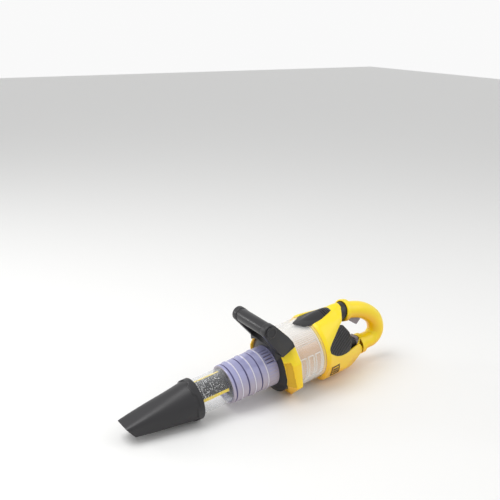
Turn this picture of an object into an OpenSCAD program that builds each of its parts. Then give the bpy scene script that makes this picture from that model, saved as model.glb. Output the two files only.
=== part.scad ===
// Hand-held toy blower: round duct along X, closed rear handle, front D handle.
// The tool is drawn level along its own axis and then set down on its cowl and nozzle band.

/* [Nozzle] */
// Length from the nozzle's rim to the upper lip of its mouth
nozzle_len = 122; // [95:1:160]
// Wall of the nozzle
nozzle_wall = 3.2; // [2.2:0.1:4]
// Length of the raised band behind the taper
band_len = 14; // [10:1:20]
// Height of the raised band
band_raise = 1.6; // [1:0.1:2.5]
// Width of the mouth
mouth_w = 36; // [28:1:44]
// Height of the mouth
mouth_h = 22; // [16:1:28]
// Distance that the lower lip stands back from the upper lip
mouth_slant = 14; // [6:1:22]

/* [Bead tube and sleeve] */
// Outer radius of the clear tube
tube_r = 28.6; // [26:0.2:31]
// Wall of the clear tube
tube_wall = 1.8; // [1.4:0.1:2.4]
// Length of clear tube that shows between the nozzle and the sleeve
tube_show = 54; // [40:1:75]
// Length of tube pushed into the nozzle and into the sleeve
tube_tuck = 10; // [7:0.5:11]
// Distance of the speckled liner from the tube's inner wall
liner_gap = 3; // [2.8:0.1:4]
// Radius of a bead
bead_r = 1.2; // [0.8:0.1:1.3]
// Length of the stepped sleeve
sleeve_len = 86; // [75:1:110]
// Wall of the sleeve at its grooves
sleeve_wall = 2; // [1.6:0.1:3]
// Growth of the sleeve's radius towards the rear
sleeve_flare = 2.4; // [1:0.2:3]
// Length of the fluted zone at the sleeve's rear
flute_len = 21; // [12:1:26]
// Length of the pale ring at the sleeve's front
rim_len = 3; // [2:0.5:5]

/* [Fan and motor] */
// Radius of the fan over its blades
fan_r = 26; // [20:0.5:27]
// Length of the fan's hub
fan_hub_len = 14; // [10:1:18]
// Radius of the motor's shaft
shaft_r = 1.5; // [1:0.1:2.5]
// Radius of the motor
motor_r = 14; // [10:0.5:17]
// Length of the motor
motor_len = 38; // [30:1:44]

/* [Front unit] */
// Length of the black collar
collar_len = 9; // [7:0.5:12]
// Length of the yellow cowl
cowl_len = 26; // [20:1:34]
// Depth of the cowl's flat underside below the axis
cowl_drop = 57.5; // [56.5:0.5:64]
// Half-width of the cowl's sides
cowl_half = 59; // [56.5:0.5:66]
// Wall of the cowl
cowl_wall = 2.4; // [1.8:0.1:3.2]
// Height of the grip bar above the axis
bar_height = 91; // [84:1:100]
// Distance of the grip bar ahead of the sleeve's rear rim
bar_ahead = 22; // [14:1:30]
// Half of the grip bar's length between the arms' outer faces
bar_half = 52; // [46:1:60]
// Radius of the grip bar
bar_r = 11; // [9:0.5:13]
// Thickness of the handle's arms
arm_t = 12; // [8:0.5:15]
// Width of the handle's arms at the grip bar
arm_w = 24; // [22:1:30]

/* [Clear housing] */
// Outer radius of the clear housing
clear_r = 54; // [51:0.5:55]
// Wall of the clear housing
clear_wall = 2; // [1.5:0.1:3]
// Length of the clear housing that shows
clear_show = 55; // [45:1:70]
// Radius of the ribbed works casing inside it
works_r = 43; // [38:0.5:46]
// Number of ribs along the works casing
works_ribs = 14; // [8:1:20]

/* [Motor body] */
// Radius of the body at its front edge
body_r = 57; // [56.5:0.5:63]
// Length of the body's round front edge
body_ring_len = 7.5; // [6.5:0.5:9]
// Wall of the body's shells
body_wall = 2.2; // [1.8:0.1:3]
// Length from the body's front edge to its upper rear end
body_top_len = 74; // [66:1:90]
// Height of the ridge above the clear housing
ridge_rise = 5; // [3.5:0.5:10]
// Depth of the body's underside below the axis
belly_drop = 63; // [61:0.5:70]
// Half-width of the body's underside
belly_half = 27; // [26:0.5:34]
// Length of the battery door
door_len = 54; // [50:1:58]
// Width of the battery door
door_w = 34; // [30:1:44]
// Radius of a battery cell
cell_r = 7.1; // [6.8:0.1:7.2]
// Length of a battery cell
cell_len = 50; // [48:0.5:50.5]
// Length of the teardrop switch
switch_len = 76; // [66:1:90]
// Half-width of the teardrop switch
switch_half = 20; // [14:0.5:22]
// Travel of the teardrop switch
switch_travel = 5; // [3:0.5:8]

/* [Rear handle] */
// Radius of the handle's tube
grip_r = 15; // [13.5:0.5:17]
// Wall of the handle's halves
grip_wall = 2.2; // [1.8:0.1:3]
// Radius of the flanges at the handle's roots
flange_r = 19.5; // [17:0.5:21]
// Length of a flange
flange_len = 5; // [3:0.5:7]
// Length of the black insert at the upper root
insert_len = 10; // [8:0.5:14]
// Straight length of the upper leg
upper_leg = 24; // [21:1:32]
// Slope of the upper leg in degrees
upper_slope = 16; // [10:1:20]
// Radius of the slow bend behind the upper leg
slow_bend = 92; // [80:1:100]
// Slope in degrees at which the slow bend ends
slow_slope = 48; // [40:1:54]
// Radius of the big bend behind the slow one
big_bend = 42; // [38:1:48]
// Radius of the tight bend above the lower leg
heel_bend = 19; // [17:0.5:21]
// Straight length of the lower leg
lower_leg = 27; // [23:1:32]
// Drop of the trigger's point below the upper leg's underside
trigger_drop = 13; // [10:1:18]
// Thickness of the trigger
trigger_t = 9; // [7:0.5:11]
// Radius of the trigger's pivot pin
pin_r = 1.5; // [1:0.1:2]

/* [Hidden] */
$fn = 96;
slip = 0.3;
run_fit = 0.05;
hull_fn = 32;
foot_cut = 0.6;
core_gap = body_wall + 0.1;
core_wall = 1.4;
insert_r = flange_r - 3.5;
ridge_height = clear_r + ridge_rise;

black = "#3a393b";
yellow = "#ffd91a";
lilac = "#a3a0c8";
grey = "#8b8388";
cream = "#e3c6a2";
clear = [0.9, 0.92, 0.93, 0.4];
pale = "#e8e6f0";

// Stations along the axis, from the sleeve's rear rim at 0
x_sleeve = -sleeve_len;
x_rim = x_sleeve - tube_show;
x_band = x_rim - band_len;
x_mouth_top = x_rim - nozzle_len;
x_mouth_low = x_mouth_top + mouth_slant;
x_cowl = 2;
x_clear = x_cowl + cowl_len;
x_body = x_clear + clear_show;
x_top_end = x_body + body_top_len;
x_flange = x_top_end + insert_len;

// Radii of the duct
bore_r = tube_r + slip;
nozzle_r = bore_r + nozzle_wall;
band_r = nozzle_r + band_raise;
tube_in = tube_r - tube_wall;
liner_r = tube_in - liner_gap;
duct_r = bore_r;
sleeve_r = duct_r + sleeve_wall;
collar_in = sleeve_r + 1;
collar_front_r = sleeve_r + sleeve_flare + 2.5;
collar_rear_r = clear_r - 5;
collar_tail = 9;

// Rest plane: the cowl's foot and the front of the nozzle's band stand on it
foot_z = foot_cut - cowl_drop;
band_z = foot_cut - band_r;
tilt = atan((band_z - foot_z) / (x_clear - x_band));

// Rear handle's centreline, from the upper flange round to the lower flange
root_z = ridge_height - flange_r;
top_end = [x_flange + upper_leg * cos(upper_slope), root_z - upper_leg * sin(upper_slope)];
slow_c = top_end - slow_bend * [sin(upper_slope), cos(upper_slope)];
big_c = slow_c + (slow_bend - big_bend) * [sin(slow_slope), cos(slow_slope)];
heel_c = [big_c[0] + big_bend - heel_bend, big_c[1]];
low_z = heel_c[1] - heel_bend;
x_low_flange = heel_c[0] - lower_leg;
x_low_end = x_low_flange;
bracket_screw_x = x_low_end - 13.8;

// Trigger pivot, inside the upper leg
pivot = [x_flange + 13, root_z - 13 * tan(upper_slope) - 5];
leg_under = root_z - grip_r / cos(upper_slope);
tip_back = 26.5;
trigger_tip = [x_flange + tip_back, leg_under - tip_back * tan(upper_slope) - trigger_drop];

// Where the tool stands: its length is centred on the origin and its foot is at height 0
row_x_min = x_mouth_top * cos(tilt) - mouth_h / 2 * sin(tilt);
row_x_max = heel_c[0] * cos(tilt) - heel_c[1] * sin(tilt) + heel_bend + grip_r;
shift_x = -(row_x_min + row_x_max) / 2;
shift_z = -(x_clear * sin(tilt) + foot_z * cos(tilt));

// Sets the level tool down on its rest plane
module stand() {
    translate([shift_x, 0, shift_z]) rotate([0, -tilt, 0]) children();
}

// Solid cylinder along the axis
module rod(x, len, r, z = 0, y = 0) {
    translate([x, y, z]) rotate([0, 90, 0]) cylinder(h = len, r = r);
}

// Hollow cylinder along the axis
module pipe(x, len, r_out, r_in) {
    difference() {
        rod(x, len, r_out);
        rod(x - 1, len + 2, r_in);
    }
}

// Turned shape about the axis, from points of radius and station
module turned(points) {
    rotate([0, 90, 0]) rotate_extrude() polygon(points);
}

// Plate parallel to the tool's middle plane, from points of station and height
module side_plate(points, y, t) {
    translate([0, y + t / 2, 0]) rotate([90, 0, 0]) linear_extrude(height = t) polygon(points);
}

// Everything under the rest plane
module under_rest_plane() {
    translate([x_clear, 0, foot_z]) rotate([0, tilt, 0])
        translate([-400, -100, -40]) cube([500, 200, 40]);
}

// Half-space on the near side (side -1) or far side (side 1) of the middle plane
module side_half(side) {
    translate([x_mouth_top, side > 0 ? 0 : -100, -120]) cube([600, 100, 260]);
}

// ---- Nozzle, bead tube and sleeve ----

// Rounded rectangle of the mouth, slanted, at an inset from its outline
module mouth_plate(inset, x_shift) {
    slant = atan(mouth_slant / mouth_h);
    h = mouth_h / cos(slant) - 2 * inset;
    w = mouth_w - 2 * inset;
    corner = 5;
    translate([(x_mouth_top + x_mouth_low) / 2 + x_shift, 0, 0]) rotate([0, -slant, 0])
        for (y = [-1, 1], z = [-1, 1])
            translate([0, y * (w / 2 - corner), z * (h / 2 - corner)])
                rotate([0, 90, 0]) cylinder(h = 0.4, r = corner, $fn = hull_fn);
}

module nozzle() {
    color(black) stand() difference() {
        union() {
            hull() {
                rod(x_band, band_len / 2, nozzle_r, $fn = 64);
                mouth_plate(0, 0);
            }
            rod(x_band, band_len, band_r);
        }
        hull() {
            rod(x_band - 3, 1, bore_r - 1.5, $fn = 64);
            mouth_plate(nozzle_wall, -1);
        }
        mouth_tail();
        rod(x_rim - tube_tuck - 1, tube_tuck + 2, bore_r);
        rod(x_band - 3, band_len, bore_r - 1.5);
        under_rest_plane();
    }
}

// Runs the nozzle's hollow out through the mouth
module mouth_tail() {
    slant = atan(mouth_slant / mouth_h);
    h = mouth_h / cos(slant) - 2 * nozzle_wall - 2;
    w = mouth_w - 2 * nozzle_wall - 2;
    translate([(x_mouth_top + x_mouth_low) / 2, 0, 0]) rotate([0, -slant, 0])
        translate([-6, -w / 2, -h / 2]) cube([10, w, h]);
}

module clear_tube() {
    lug_len = 7;
    color(clear) stand() {
        pipe(x_rim - tube_tuck, 2 * tube_tuck + tube_show, tube_r, tube_in);
        for (side = [-1, 1])
            translate([x_rim + 0.6, -4, side > 0 ? tube_r - 0.6 : -tube_r - 2])
                cube([lug_len, 8, 2.6]);
    }
}

// Speckled panel on the near upper side of the tube
module tube_liner() {
    color(black) stand() intersection() {
        pipe(x_rim - 4, tube_show, liner_r, liner_r - 1);
        rotate([-17, 0, 0]) translate([x_rim - 10, -60, 0]) cube([tube_show + 20, 60, 60]);
    }
}

// Light beads that cling between the liner and the tube at the nozzle end
module beads() {
    ring_r = (tube_in + liner_r) / 2;
    color("white") stand()
        for (i = [0:27]) {
            a = 14 + 66 * ((i * 0.382) % 1);
            rotate([90 - a, 0, 0])
                translate([x_rim + 3 + 17 * pow(i / 27, 1.6), 0, ring_r])
                    sphere(r = bead_r * (0.7 + 0.3 * ((i * 0.618) % 1)), $fn = 24);
        }
}

module sleeve_rim() {
    color(pale) stand() turned([
        [bore_r, x_sleeve], [sleeve_r + 0.8, x_sleeve], [sleeve_r + 1.4, x_sleeve + 1],
        [sleeve_r + 1.4, x_sleeve + rim_len], [bore_r, x_sleeve + rim_len]]);
}

// Radius of the sleeve at a share of its length
function sleeve_at(t) = sleeve_r + 1.2 + sleeve_flare * t;

module sleeve() {
    steps = 3;
    start = x_sleeve + rim_len;
    pitch = (sleeve_len - rim_len - flute_len) / steps;
    outer = [for (i = [0:steps - 1], p = [[0, -1], [1.6, -1], [1.6, 0], [pitch / 2, 0.2],
        [pitch / 2 + 0.1, 0.9], [pitch / 2 + 1.4, 0.9], [pitch / 2 + 1.5, 0.2], [pitch - 0.2, 0]])
        [sleeve_at((i * pitch + p[0]) / sleeve_len) + p[1], start + i * pitch + p[0]]];
    flutes = 40;
    color(lilac) stand() difference() {
        turned(concat([[duct_r, start]], outer, [
            [sleeve_at(0.75), -flute_len], [sleeve_at(0.78), -flute_len + 1],
            [sleeve_at(1), -2], [sleeve_at(1), 0], [sleeve_at(1) - 3, 0],
            [sleeve_at(1) - 3, x_cowl + 3], [duct_r, x_cowl + 3]]));
        for (i = [0:flutes - 1])
            rotate([i * 360 / flutes, 0, 0]) rod(-flute_len + 3, flute_len - 6, 0.7, sleeve_at(0.9) + 0.2, $fn = 16);
    }
}

// ---- Fan and motor ----

x_guard = x_sleeve + tube_tuck + 1;
x_motor = x_cowl + 4;
x_fan = x_motor - 32;

module fan_guard() {
    color(black) stand() {
        pipe(x_guard, 3, duct_r, duct_r - 2);
        rod(x_guard, 3, 6);
        for (a = [0:60:179])
            rotate([a, 0, 0]) translate([x_guard, -1, -duct_r + 1]) cube([3, 2, 2 * duct_r - 2]);
    }
}

module fan() {
    blades = 6;
    hub_r = 8;
    color("white") stand() difference() {
        union() {
            rod(x_fan, fan_hub_len, hub_r);
            for (i = [0:blades - 1])
                rotate([i * 360 / blades, 0, 0]) translate([x_fan + fan_hub_len / 2, 0, 0])
                    rotate([0, 0, 35]) translate([-fan_hub_len / 2, -0.7, hub_r - 2])
                        cube([fan_hub_len, 1.4, fan_r - hub_r]);
        }
        rod(x_fan + 2, fan_hub_len, shaft_r);
    }
}

module fan_shaft() {
    color("silver") stand() rod(x_fan + 2, x_motor + 12 - x_fan - 2, shaft_r);
}

module motor() {
    color("silver") stand() difference() {
        union() {
            rod(x_motor, motor_len, motor_r);
            rod(x_motor - 3, 4, shaft_r + 3);
        }
        rod(x_motor - 4, 17, shaft_r + run_fit);
    }
}

module motor_mount() {
    mount_len = 10;
    vane_in = motor_r + 1;
    color(black) stand() {
        pipe(x_motor + 1, mount_len, motor_r + 2.4, motor_r);
        difference() {
            union() {
                pipe(x_motor + 1, mount_len, collar_in - 0.4, duct_r - 0.5);
                for (a = [0:90:359]) rotate([a, 0, 0])
                    translate([x_motor + 3, -1.2, vane_in]) cube([mount_len - 4, 2.4, duct_r - vane_in]);
            }
            rod(x_motor, mount_len + 2, vane_in + 0.5);
        }
    }
}

// ---- Front unit ----

module collar() {
    color(black) stand() turned([
        [collar_in, x_cowl + 3.2], [collar_in, 0], [collar_front_r, 0], [collar_rear_r, collar_len - 3],
        [collar_rear_r, collar_len + collar_tail], [collar_rear_r - 3, collar_len + collar_tail],
        [collar_rear_r - 3, collar_len], [collar_in - 0.4, collar_len], [collar_in - 0.4, x_cowl + 3.2]]);
}

// Near half of the cowl's outline, from the arms down to the flat foot
function cowl_section(grow) = let (a = cowl_half + grow, d = cowl_drop + grow)
    [[d * 0.44, -d], [a, -d * 0.46], [a, d * 0.32], [a * 0.72, d * 0.78], [a * 0.3, d * 0.9]];

// The same at the front edge, which stops beside the duct
function cowl_front(grow) = let (a = collar_rear_r + 1.5 + grow)
    [[a * 0.9, -a * 0.34 - grow], [a, 0], [a, a * 0.33], [a * 0.72, a * 0.76], [a * 0.3, a * 0.88]];

module both_halves(half) {
    polygon(concat(half, [for (i = [len(half) - 1:-1:0]) [-half[i][0], half[i][1]]]));
}

// The cowl's faceted shape: narrower at the front and cut back underneath
module cowl_block(grow) {
    hull() {
        translate([x_cowl, 0, 0]) rotate([90, 0, 90]) linear_extrude(height = 0.5) both_halves(cowl_front(grow));
        translate([x_clear - 7, 0, 0]) rotate([90, 0, 90]) linear_extrude(height = 7)
            both_halves(cowl_section(grow));
    }
}

module cowl() {
    tail_end = collar_len + collar_tail;
    color(yellow) stand() difference() {
        cowl_block(0);
        rod(x_cowl - 2, tail_end + 2.2 - x_cowl, collar_rear_r + 0.3);
        intersection() {
            cowl_block(-cowl_wall);
            translate([tail_end + 0.2, -100, -100]) cube([x_clear - tail_end - 2.6, 200, 200]);
        }
        rod(x_cowl, cowl_len + 10, clear_r + 0.1 - clear_wall - 2);
        rod(x_clear - 4.2, 10, clear_r + 0.1);
        arm_room();
        under_rest_plane();
    }
}

// Outline of one arm: round at the grip bar, wider and straight-cut at the cowl
arm_top = [-bar_ahead, bar_height];
arm_front_foot = [x_cowl - 5, cowl_drop * 0.66];
arm_rear_foot = [x_cowl + 20, cowl_drop * 0.84];

module arm_outline(grow) {
    offset(delta = grow) hull() {
        translate(arm_top) circle(d = arm_w);
        polygon([arm_front_foot, arm_rear_foot, arm_rear_foot - [8, -6]]);
    }
}

module arm(side, grow) {
    translate([0, side * (bar_half - arm_t / 2) + arm_t / 2 + grow, 0])
        rotate([90, 0, 0]) linear_extrude(height = arm_t + 2 * grow) arm_outline(grow);
}

// Saddle across the top of the duct, between the arms
module saddle(grow) {
    translate([x_cowl - 12 - grow, -bar_half + 1 - grow, cowl_drop * 0.5 - grow])
        cube([24 + 2 * grow, 2 * bar_half - 2 + 2 * grow, cowl_drop * 0.38 + 2 * grow]);
}

module arm_room() {
    for (side = [-1, 1]) arm(side, 0.2);
    saddle(0.2);
}

module front_handle() {
    color(black) stand() difference() {
        union() {
            for (side = [-1, 1]) arm(side, 0);
            saddle(0);
        }
        rod(-60, 60.4, sleeve_at(1) + 1.2);
        rod(0, x_cowl + 40, collar_rear_r + 0.2);
        rod(x_clear - 4.4, 20, clear_r + 0.4);
        translate([arm_top[0], bar_half + 1, arm_top[1]]) rotate([90, 0, 0])
            cylinder(h = 2 * bar_half + 2, r = 5);
    }
}

module grip_bar() {
    reach = bar_half - arm_t - 0.1;
    color(black) stand() translate([arm_top[0], reach, arm_top[1]]) rotate([90, 0, 0])
        difference() {
            cylinder(h = 2 * reach, r = bar_r);
            translate([0, 0, -1]) cylinder(h = 2 * reach + 2, r = 5);
        }
}

module grip_caps() {
    color(black) stand() for (side = [-1, 1])
        translate([arm_top[0], side * (bar_half + 1.7), arm_top[1]]) rotate([side * 90, 0, 0])
            difference() {
                union() {
                    cylinder(h = 1.6, r = 8);
                    cylinder(h = arm_t + 8, r = 4.9);
                }
                translate([-6, -0.8, -1]) cube([12, 1.6, 1.8]);
            }
}

// ---- Clear housing and works ----

module clear_housing() {
    color(clear) stand() pipe(x_clear - 4, clear_show + 8, clear_r, clear_r - clear_wall);
}

module works_casing() {
    start = x_clear + 3;
    length = clear_show - 4;
    color(cream) stand() difference() {
        union() {
            rod(start, length, works_r - 2);
            rod(start + length - 2.5, 2.5, clear_r - clear_wall);
            for (x = [0:length / 3:length]) rod(start + min(x, length - 2.5), 2.5, works_r);
            for (i = [0:works_ribs - 1])
                rotate([i * 360 / works_ribs, 0, 0]) translate([start + 0.5, -1, works_r - 3]) cube([length - 1, 2, 2.4]);
        }
        rod(start - 1, length - 2, works_r - 4);
        rod(start, length + 2, 20);
    }
}

// ---- Motor body ----

// Width of the belly's flat, the upper end and the lower end, for one inset
module body_form(inset) {
    r = body_r - inset;
    bottom = belly_drop - inset;
    ridge = ridge_height - inset;
    hull() {
        rod(x_body + inset, body_ring_len - inset, r, $fn = 48);
        translate([x_body + 14, -belly_half + inset, -bottom]) cube([58, 2 * (belly_half - inset), 1]);
        translate([x_top_end - 1 - inset, -17.5 + inset, root_z - 8]) cube([1, 35 - 2 * inset, 15]);
        translate([x_body + 40, -4, ridge - 1]) cube([body_top_len - 40 - inset, 8, 1]);
        translate([x_low_end - 1 - inset, -15 + inset, low_z - 8]) cube([1, 30 - 2 * inset, 18 - inset]);
        translate([x_low_end - 8, -15 + inset, low_z - 16 + inset]) cube([1, 30 - 2 * inset, 10]);
        translate([x_low_end - 34, -19 + inset, -bottom]) cube([2, 38 - 2 * inset, 1]);
    }
}

// Side outline of the body's open mouth, between its upper and lower prongs
module mouth_cut(y, t) {
    prong_z = low_z + 9;
    side_plate([[x_top_end + 0.2, root_z + 14], [x_top_end - 5, root_z + 6], [x_top_end - 8.5, root_z - 7.5],
        [x_body + 38, root_z - 12.5], [x_body + 14, 20.5], [x_body + 9.5, 15], [x_body + 9.5, 10],
        [x_body + 12, 4.5], [x_body + 20, -2.5], [x_body + 36, -10.5], [x_body + 65, prong_z + 12.5],
        [x_body + 86, prong_z + 8.5], [x_low_end + 0.2, prong_z], [x_low_end + 40, prong_z],
        [x_low_end + 40, 90], [x_top_end + 0.2, 90]], y, t);
}

// Plan outline of the teardrop switch, from its point over the clear housing to its rear end
x_switch_end = x_body + 51;
x_switch = x_switch_end - switch_len;

module teardrop(grow) {
    h = switch_half + grow;
    polygon([[x_switch - grow, 0], [x_switch + 1.5, h * 0.27], [x_switch + 5, h * 0.55],
        [x_switch + 12, h * 0.88], [x_switch + 20, h], [x_switch + 30, h], [x_switch_end - 28, h * 0.86],
        [x_switch_end - 10, h * 0.58], [x_switch_end + grow, h * 0.4],
        [x_switch_end + grow, -h * 0.4], [x_switch_end - 10, -h * 0.58], [x_switch_end - 28, -h * 0.86],
        [x_switch + 30, -h], [x_switch + 20, -h], [x_switch + 12, -h * 0.88],
        [x_switch + 5, -h * 0.55], [x_switch + 1.5, -h * 0.27]]);
}

module switch_notch() {
    translate([0, 0, 30]) linear_extrude(height = 60) teardrop(0.5);
}

module door_prism(grow) {
    translate([x_body + 16 - grow, -door_w / 2 - grow, -belly_drop - 1])
        cube([door_len + 2 * grow, door_w + 2 * grow, 1 + body_wall + 0.4]);
}

module body_shell() {
    difference() {
        body_form(0);
        body_form(body_wall);
        rod(x_body - 5, 9.2, clear_r + 0.1);
        mouth_cut(0, 200);
        switch_notch();
        rod(x_top_end - 9.2, 30, insert_r + run_fit, root_z);
        door_prism(0.3);
        screw_bores();
    }
    difference() {
        screw_bosses();
        screw_bores();
    }
}

// Three screws close the halves, driven in from the far side
screw_spots = [[x_body + 57, root_z + 4.5], [x_body + 77, -belly_drop + 14], [x_body + 8.5, -body_r + 12]];
boss_r = 4.3;
head_y = 6;
screw_r = 1.6;
head_r = 2.7;

// Round pillars across the width that take the screws
module screw_bosses() {
    intersection() {
        for (p = screw_spots)
            translate([p[0], 60, p[1]]) rotate([90, 0, 0]) cylinder(h = 120, r = boss_r, $fn = 48);
        body_form(body_wall / 2);
    }
}

module screw_bores() {
    for (p = screw_spots) translate([p[0], 0, p[1]]) rotate([-90, 0, 0]) {
        translate([0, 0, -9]) cylinder(h = 20, r = screw_r + run_fit, $fn = 48);
        translate([0, 0, head_y]) cylinder(h = 60, r = head_r + 0.2, $fn = 48);
    }
}

module body_right() {
    color(yellow) stand() intersection() {
        body_shell();
        side_half(-1);
    }
}

module body_left() {
    color(yellow) stand() intersection() {
        body_shell();
        side_half(1);
    }
}

// Egg-shaped side outline of the core and its pads, drawn in by an inset
egg_nose = [x_body + 24.5, 11.5, 17];
egg_rear = [x_body + body_top_len - 20.5, -1.5, 28];
core_inset = 3;

module egg(inset) {
    hull() for (c = [egg_nose, egg_rear])
        translate([c[0], 100, c[1]]) rotate([90, 0, 0]) cylinder(h = 200, r = c[2] - inset, $fn = 64);
}

module core() {
    color(black) stand() difference() {
        intersection() {
            body_form(core_gap);
            egg(core_inset);
        }
        intersection() {
            body_form(core_gap + core_wall);
            egg(core_inset + core_wall);
        }
    }
}

// Egg-shaped textured pad on one side of the core
module side_pad(side) {
    intersection() {
        difference() {
            body_form(-0.6);
            body_form(core_gap);
        }
        egg(0);
        side_half(side);
        mouth_cut(0, 200);
    }
}

module pad_right() { color(black) stand() side_pad(-1); }

module pad_left() { color(black) stand() side_pad(1); }

vent_x = x_body + body_top_len + 5;

// Louvred block above the lower prong, behind the core
module vent_block() {
    length = x_low_end - 17 - vent_x;
    half = 18;
    slots = 5;
    pitch = 3.6;
    column = length / 2;
    foot = low_z + 7;
    color(black) stand() difference() {
        side_plate([[vent_x, foot], [vent_x + length, foot], [vent_x + length, foot + 14], [vent_x + 8, foot + 24],
            [vent_x, foot + 25]], 0, 2 * half);
        side_plate([[vent_x + 1.5, foot + 1.5], [vent_x + length - 1.5, foot + 1.5],
            [vent_x + length - 1.5, foot + 12], [vent_x + 1.5, foot + 22]], 0, 2 * half - 5);
        for (i = [0:slots - 1], col = [0, 1], side = [-1, 1])
            translate([vent_x + 1.5 + col * column, side * half - 1, foot + 3 + i * pitch - col * 2])
                cube([column - 2.5, 2, 1.8]);
    }
}

module label_plate() {
    color("#6b4a1f") stand() intersection() {
        difference() {
            body_form(-0.7);
            body_form(0);
        }
        translate([x_body + 19, -100, -45]) rotate([0, 4, 0]) cube([19, 92, 15]);
    }
}

// ---- Battery compartment ----

door_x = x_body + 16;
cell_gap = 0.4;
cell_y = cell_r + cell_gap / 2;
belly_in = body_wall - belly_drop;
cell_z = belly_in + 2.5 + cell_r;
box_top = cell_z + cell_r + 0.2;
box_x = door_x - 0.5;
box_end = door_x + door_len + 0.5;
screw_x = door_x + door_len - 3;

// Open-bottomed box over the door, with the boss for the door's screw
module battery_box() {
    wall = 1.5;
    half = door_w / 2 + 0.5;
    color(black) stand() {
        difference() {
            translate([box_x - wall, -half - wall, belly_in])
                cube([box_end - box_x + 2 * wall, 2 * (half + wall), box_top + wall - belly_in]);
            translate([box_x, -half, belly_in - 1]) cube([box_end - box_x, 2 * half, box_top + 1 - belly_in]);
        }
        translate([screw_x, 0, belly_in + 2]) difference() {
            cylinder(h = box_top - belly_in - 1, r = 2.6);
            translate([0, 0, -1]) cylinder(h = 8, r = 1.6);
        }
    }
}

module batteries() {
    color("silver") stand() for (side = [-1, 1]) {
        rod(box_x, cell_len - 1, cell_r, cell_z, side * cell_y);
        rod(box_x + cell_len - 1, 1, 2.7, cell_z, side * cell_y);
    }
}

// Contact springs between the cells and the box's rear wall
module battery_springs() {
    color("silver") stand() for (side = [-1, 1]) translate([box_x + cell_len, side * cell_y, cell_z])
        rotate([0, 90, 0]) difference() {
            cylinder(h = box_end - box_x - cell_len, r = 3.4);
            translate([0, 0, -1]) cylinder(h = 20, r = 2.6);
        }
}

module battery_door() {
    color(yellow) stand() difference() {
        translate([door_x, -door_w / 2, -belly_drop]) cube([door_len, door_w, body_wall]);
        translate([screw_x, 0, -belly_drop - 1]) cylinder(h = 10, r = 1.5);
    }
}

module door_screw() {
    head = 1.2;
    color("silver") stand() translate([screw_x, 0, -belly_drop - head]) difference() {
        union() {
            cylinder(h = head, r = 2.9);
            cylinder(h = 10, r = 1.45);
        }
        translate([-2, -0.4, -1]) cube([4, 0.8, 1.6]);
        translate([-0.4, -2, -1]) cube([0.8, 4, 1.6]);
    }
}

// ---- Top switch ----

switch_under = clear_r + 0.5;

module switch_contact() {
    core_top = 26;
    color(grey) stand() translate([x_body + 30, -6, core_top])
        cube([20, 12, switch_under - core_top - 7.3]);
}

module top_switch() {
    crown = ridge_height + 1.5;
    crown_r = 24;
    color(black) stand() difference() {
        intersection() {
            translate([0, 0, switch_under - 7]) linear_extrude(height = 30) teardrop(0);
            rod(x_switch - 20, switch_len + 40, crown_r, crown - crown_r);
            side_plate([[x_switch - 10, 40], [x_switch - 10, switch_under], [x_switch, switch_under + 0.5],
                [x_switch + 18, crown - 4], [x_switch + 46, crown], [x_switch_end - 12, crown],
                [x_switch_end + 10, crown - 4], [x_switch_end + 10, 40]], 0, 80);
        }
        rod(x_switch - 20, x_body + 5 + switch_travel - x_switch + 20, switch_under);
        translate([x_body + 16, -7, switch_under - 8]) cube([26, 14, 10]);
        for (i = [0:4])
            translate([x_switch_end - 6 - i * 4.2, -30, crown - 1.4]) cube([1.6, 60, 3]);
    }
}

// ---- Rear handle ----

module root_insert() {
    color(black) stand() difference() {
        rod(x_top_end - 9, insert_len + 9, insert_r, root_z);
        rod(x_top_end - 12, insert_len + 20, insert_r - 3.5, root_z);
        translate([x_top_end - 12, -30, root_z + flange_r - 6]) cube([12, 60, 20]);
    }
}

// Cross-section of one half of a round tube, on side 1 or -1 of the middle plane
module tube_half(side, r, wall) {
    intersection() {
        difference() {
            circle(r = r);
            circle(r = r - wall);
        }
        translate([-r - 1, side > 0 ? 0 : -r - 1]) square([2 * r + 2, r + 1]);
    }
}

// Bend of a half tube in the middle plane, about centre c, from angle a0 over angle a
module bend_half(side, c, big, a0, a, step = 0) {
    translate([c[0], 0, c[1]]) rotate([90, 0, 0]) rotate([0, 0, a0])
        rotate_extrude(angle = a) translate([big, 0]) tube_half(-side, grip_r + step, grip_wall + 2 * step);
}

// Straight leg that leaves a bend at angle a, a hair thicker than the bend, with a flange near its far end
leg_step = 0.15;
leg_lap = 0.5;

module leg_half(side, c, big, a, len, flange_from, flange_to, rim, step) {
    translate([c[0], 0, c[1]]) rotate([90, 0, 0]) rotate([0, 0, a]) translate([big, 0, 0])
        rotate([a > 0 ? -90 : 90, 0, 0]) {
            translate([0, 0, -leg_lap]) linear_extrude(height = len + leg_lap)
                tube_half(a > 0 ? side : -side, grip_r + step, grip_wall + 2 * step);
            translate([0, 0, flange_from]) linear_extrude(height = flange_to - flange_from)
                tube_half(a > 0 ? side : -side, rim, rim - grip_r + 1);
        }
}

// One half of the handle: upper leg, three bends and lower leg, with a flange at each root
module handle_half(side) {
    root_len = 6;
    lap_angle = 0.4;
    difference() {
        union() {
            leg_half(side, slow_c, slow_bend, 90 - upper_slope, upper_leg + root_len,
                upper_leg - flange_len, upper_leg + root_len, flange_r, 2 * leg_step);
            bend_half(side, slow_c, slow_bend, 90 - slow_slope - lap_angle,
                slow_slope - upper_slope + lap_angle, leg_step);
            bend_half(side, big_c, big_bend, 0, 90 - slow_slope);
            bend_half(side, heel_c, heel_bend, -90, 90);
            leg_half(side, heel_c, heel_bend, -90, lower_leg, lower_leg - flange_len, lower_leg,
                flange_r - 2, leg_step);
        }
        translate([x_flange - 30, -30, root_z - 40]) cube([30, 60, 80]);
        trigger_slot();
        translate([pivot[0], 30, pivot[1]]) rotate([90, 0, 0]) cylinder(h = 60, r = pin_r + 0.02, $fn = 48);
    }
}

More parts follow.
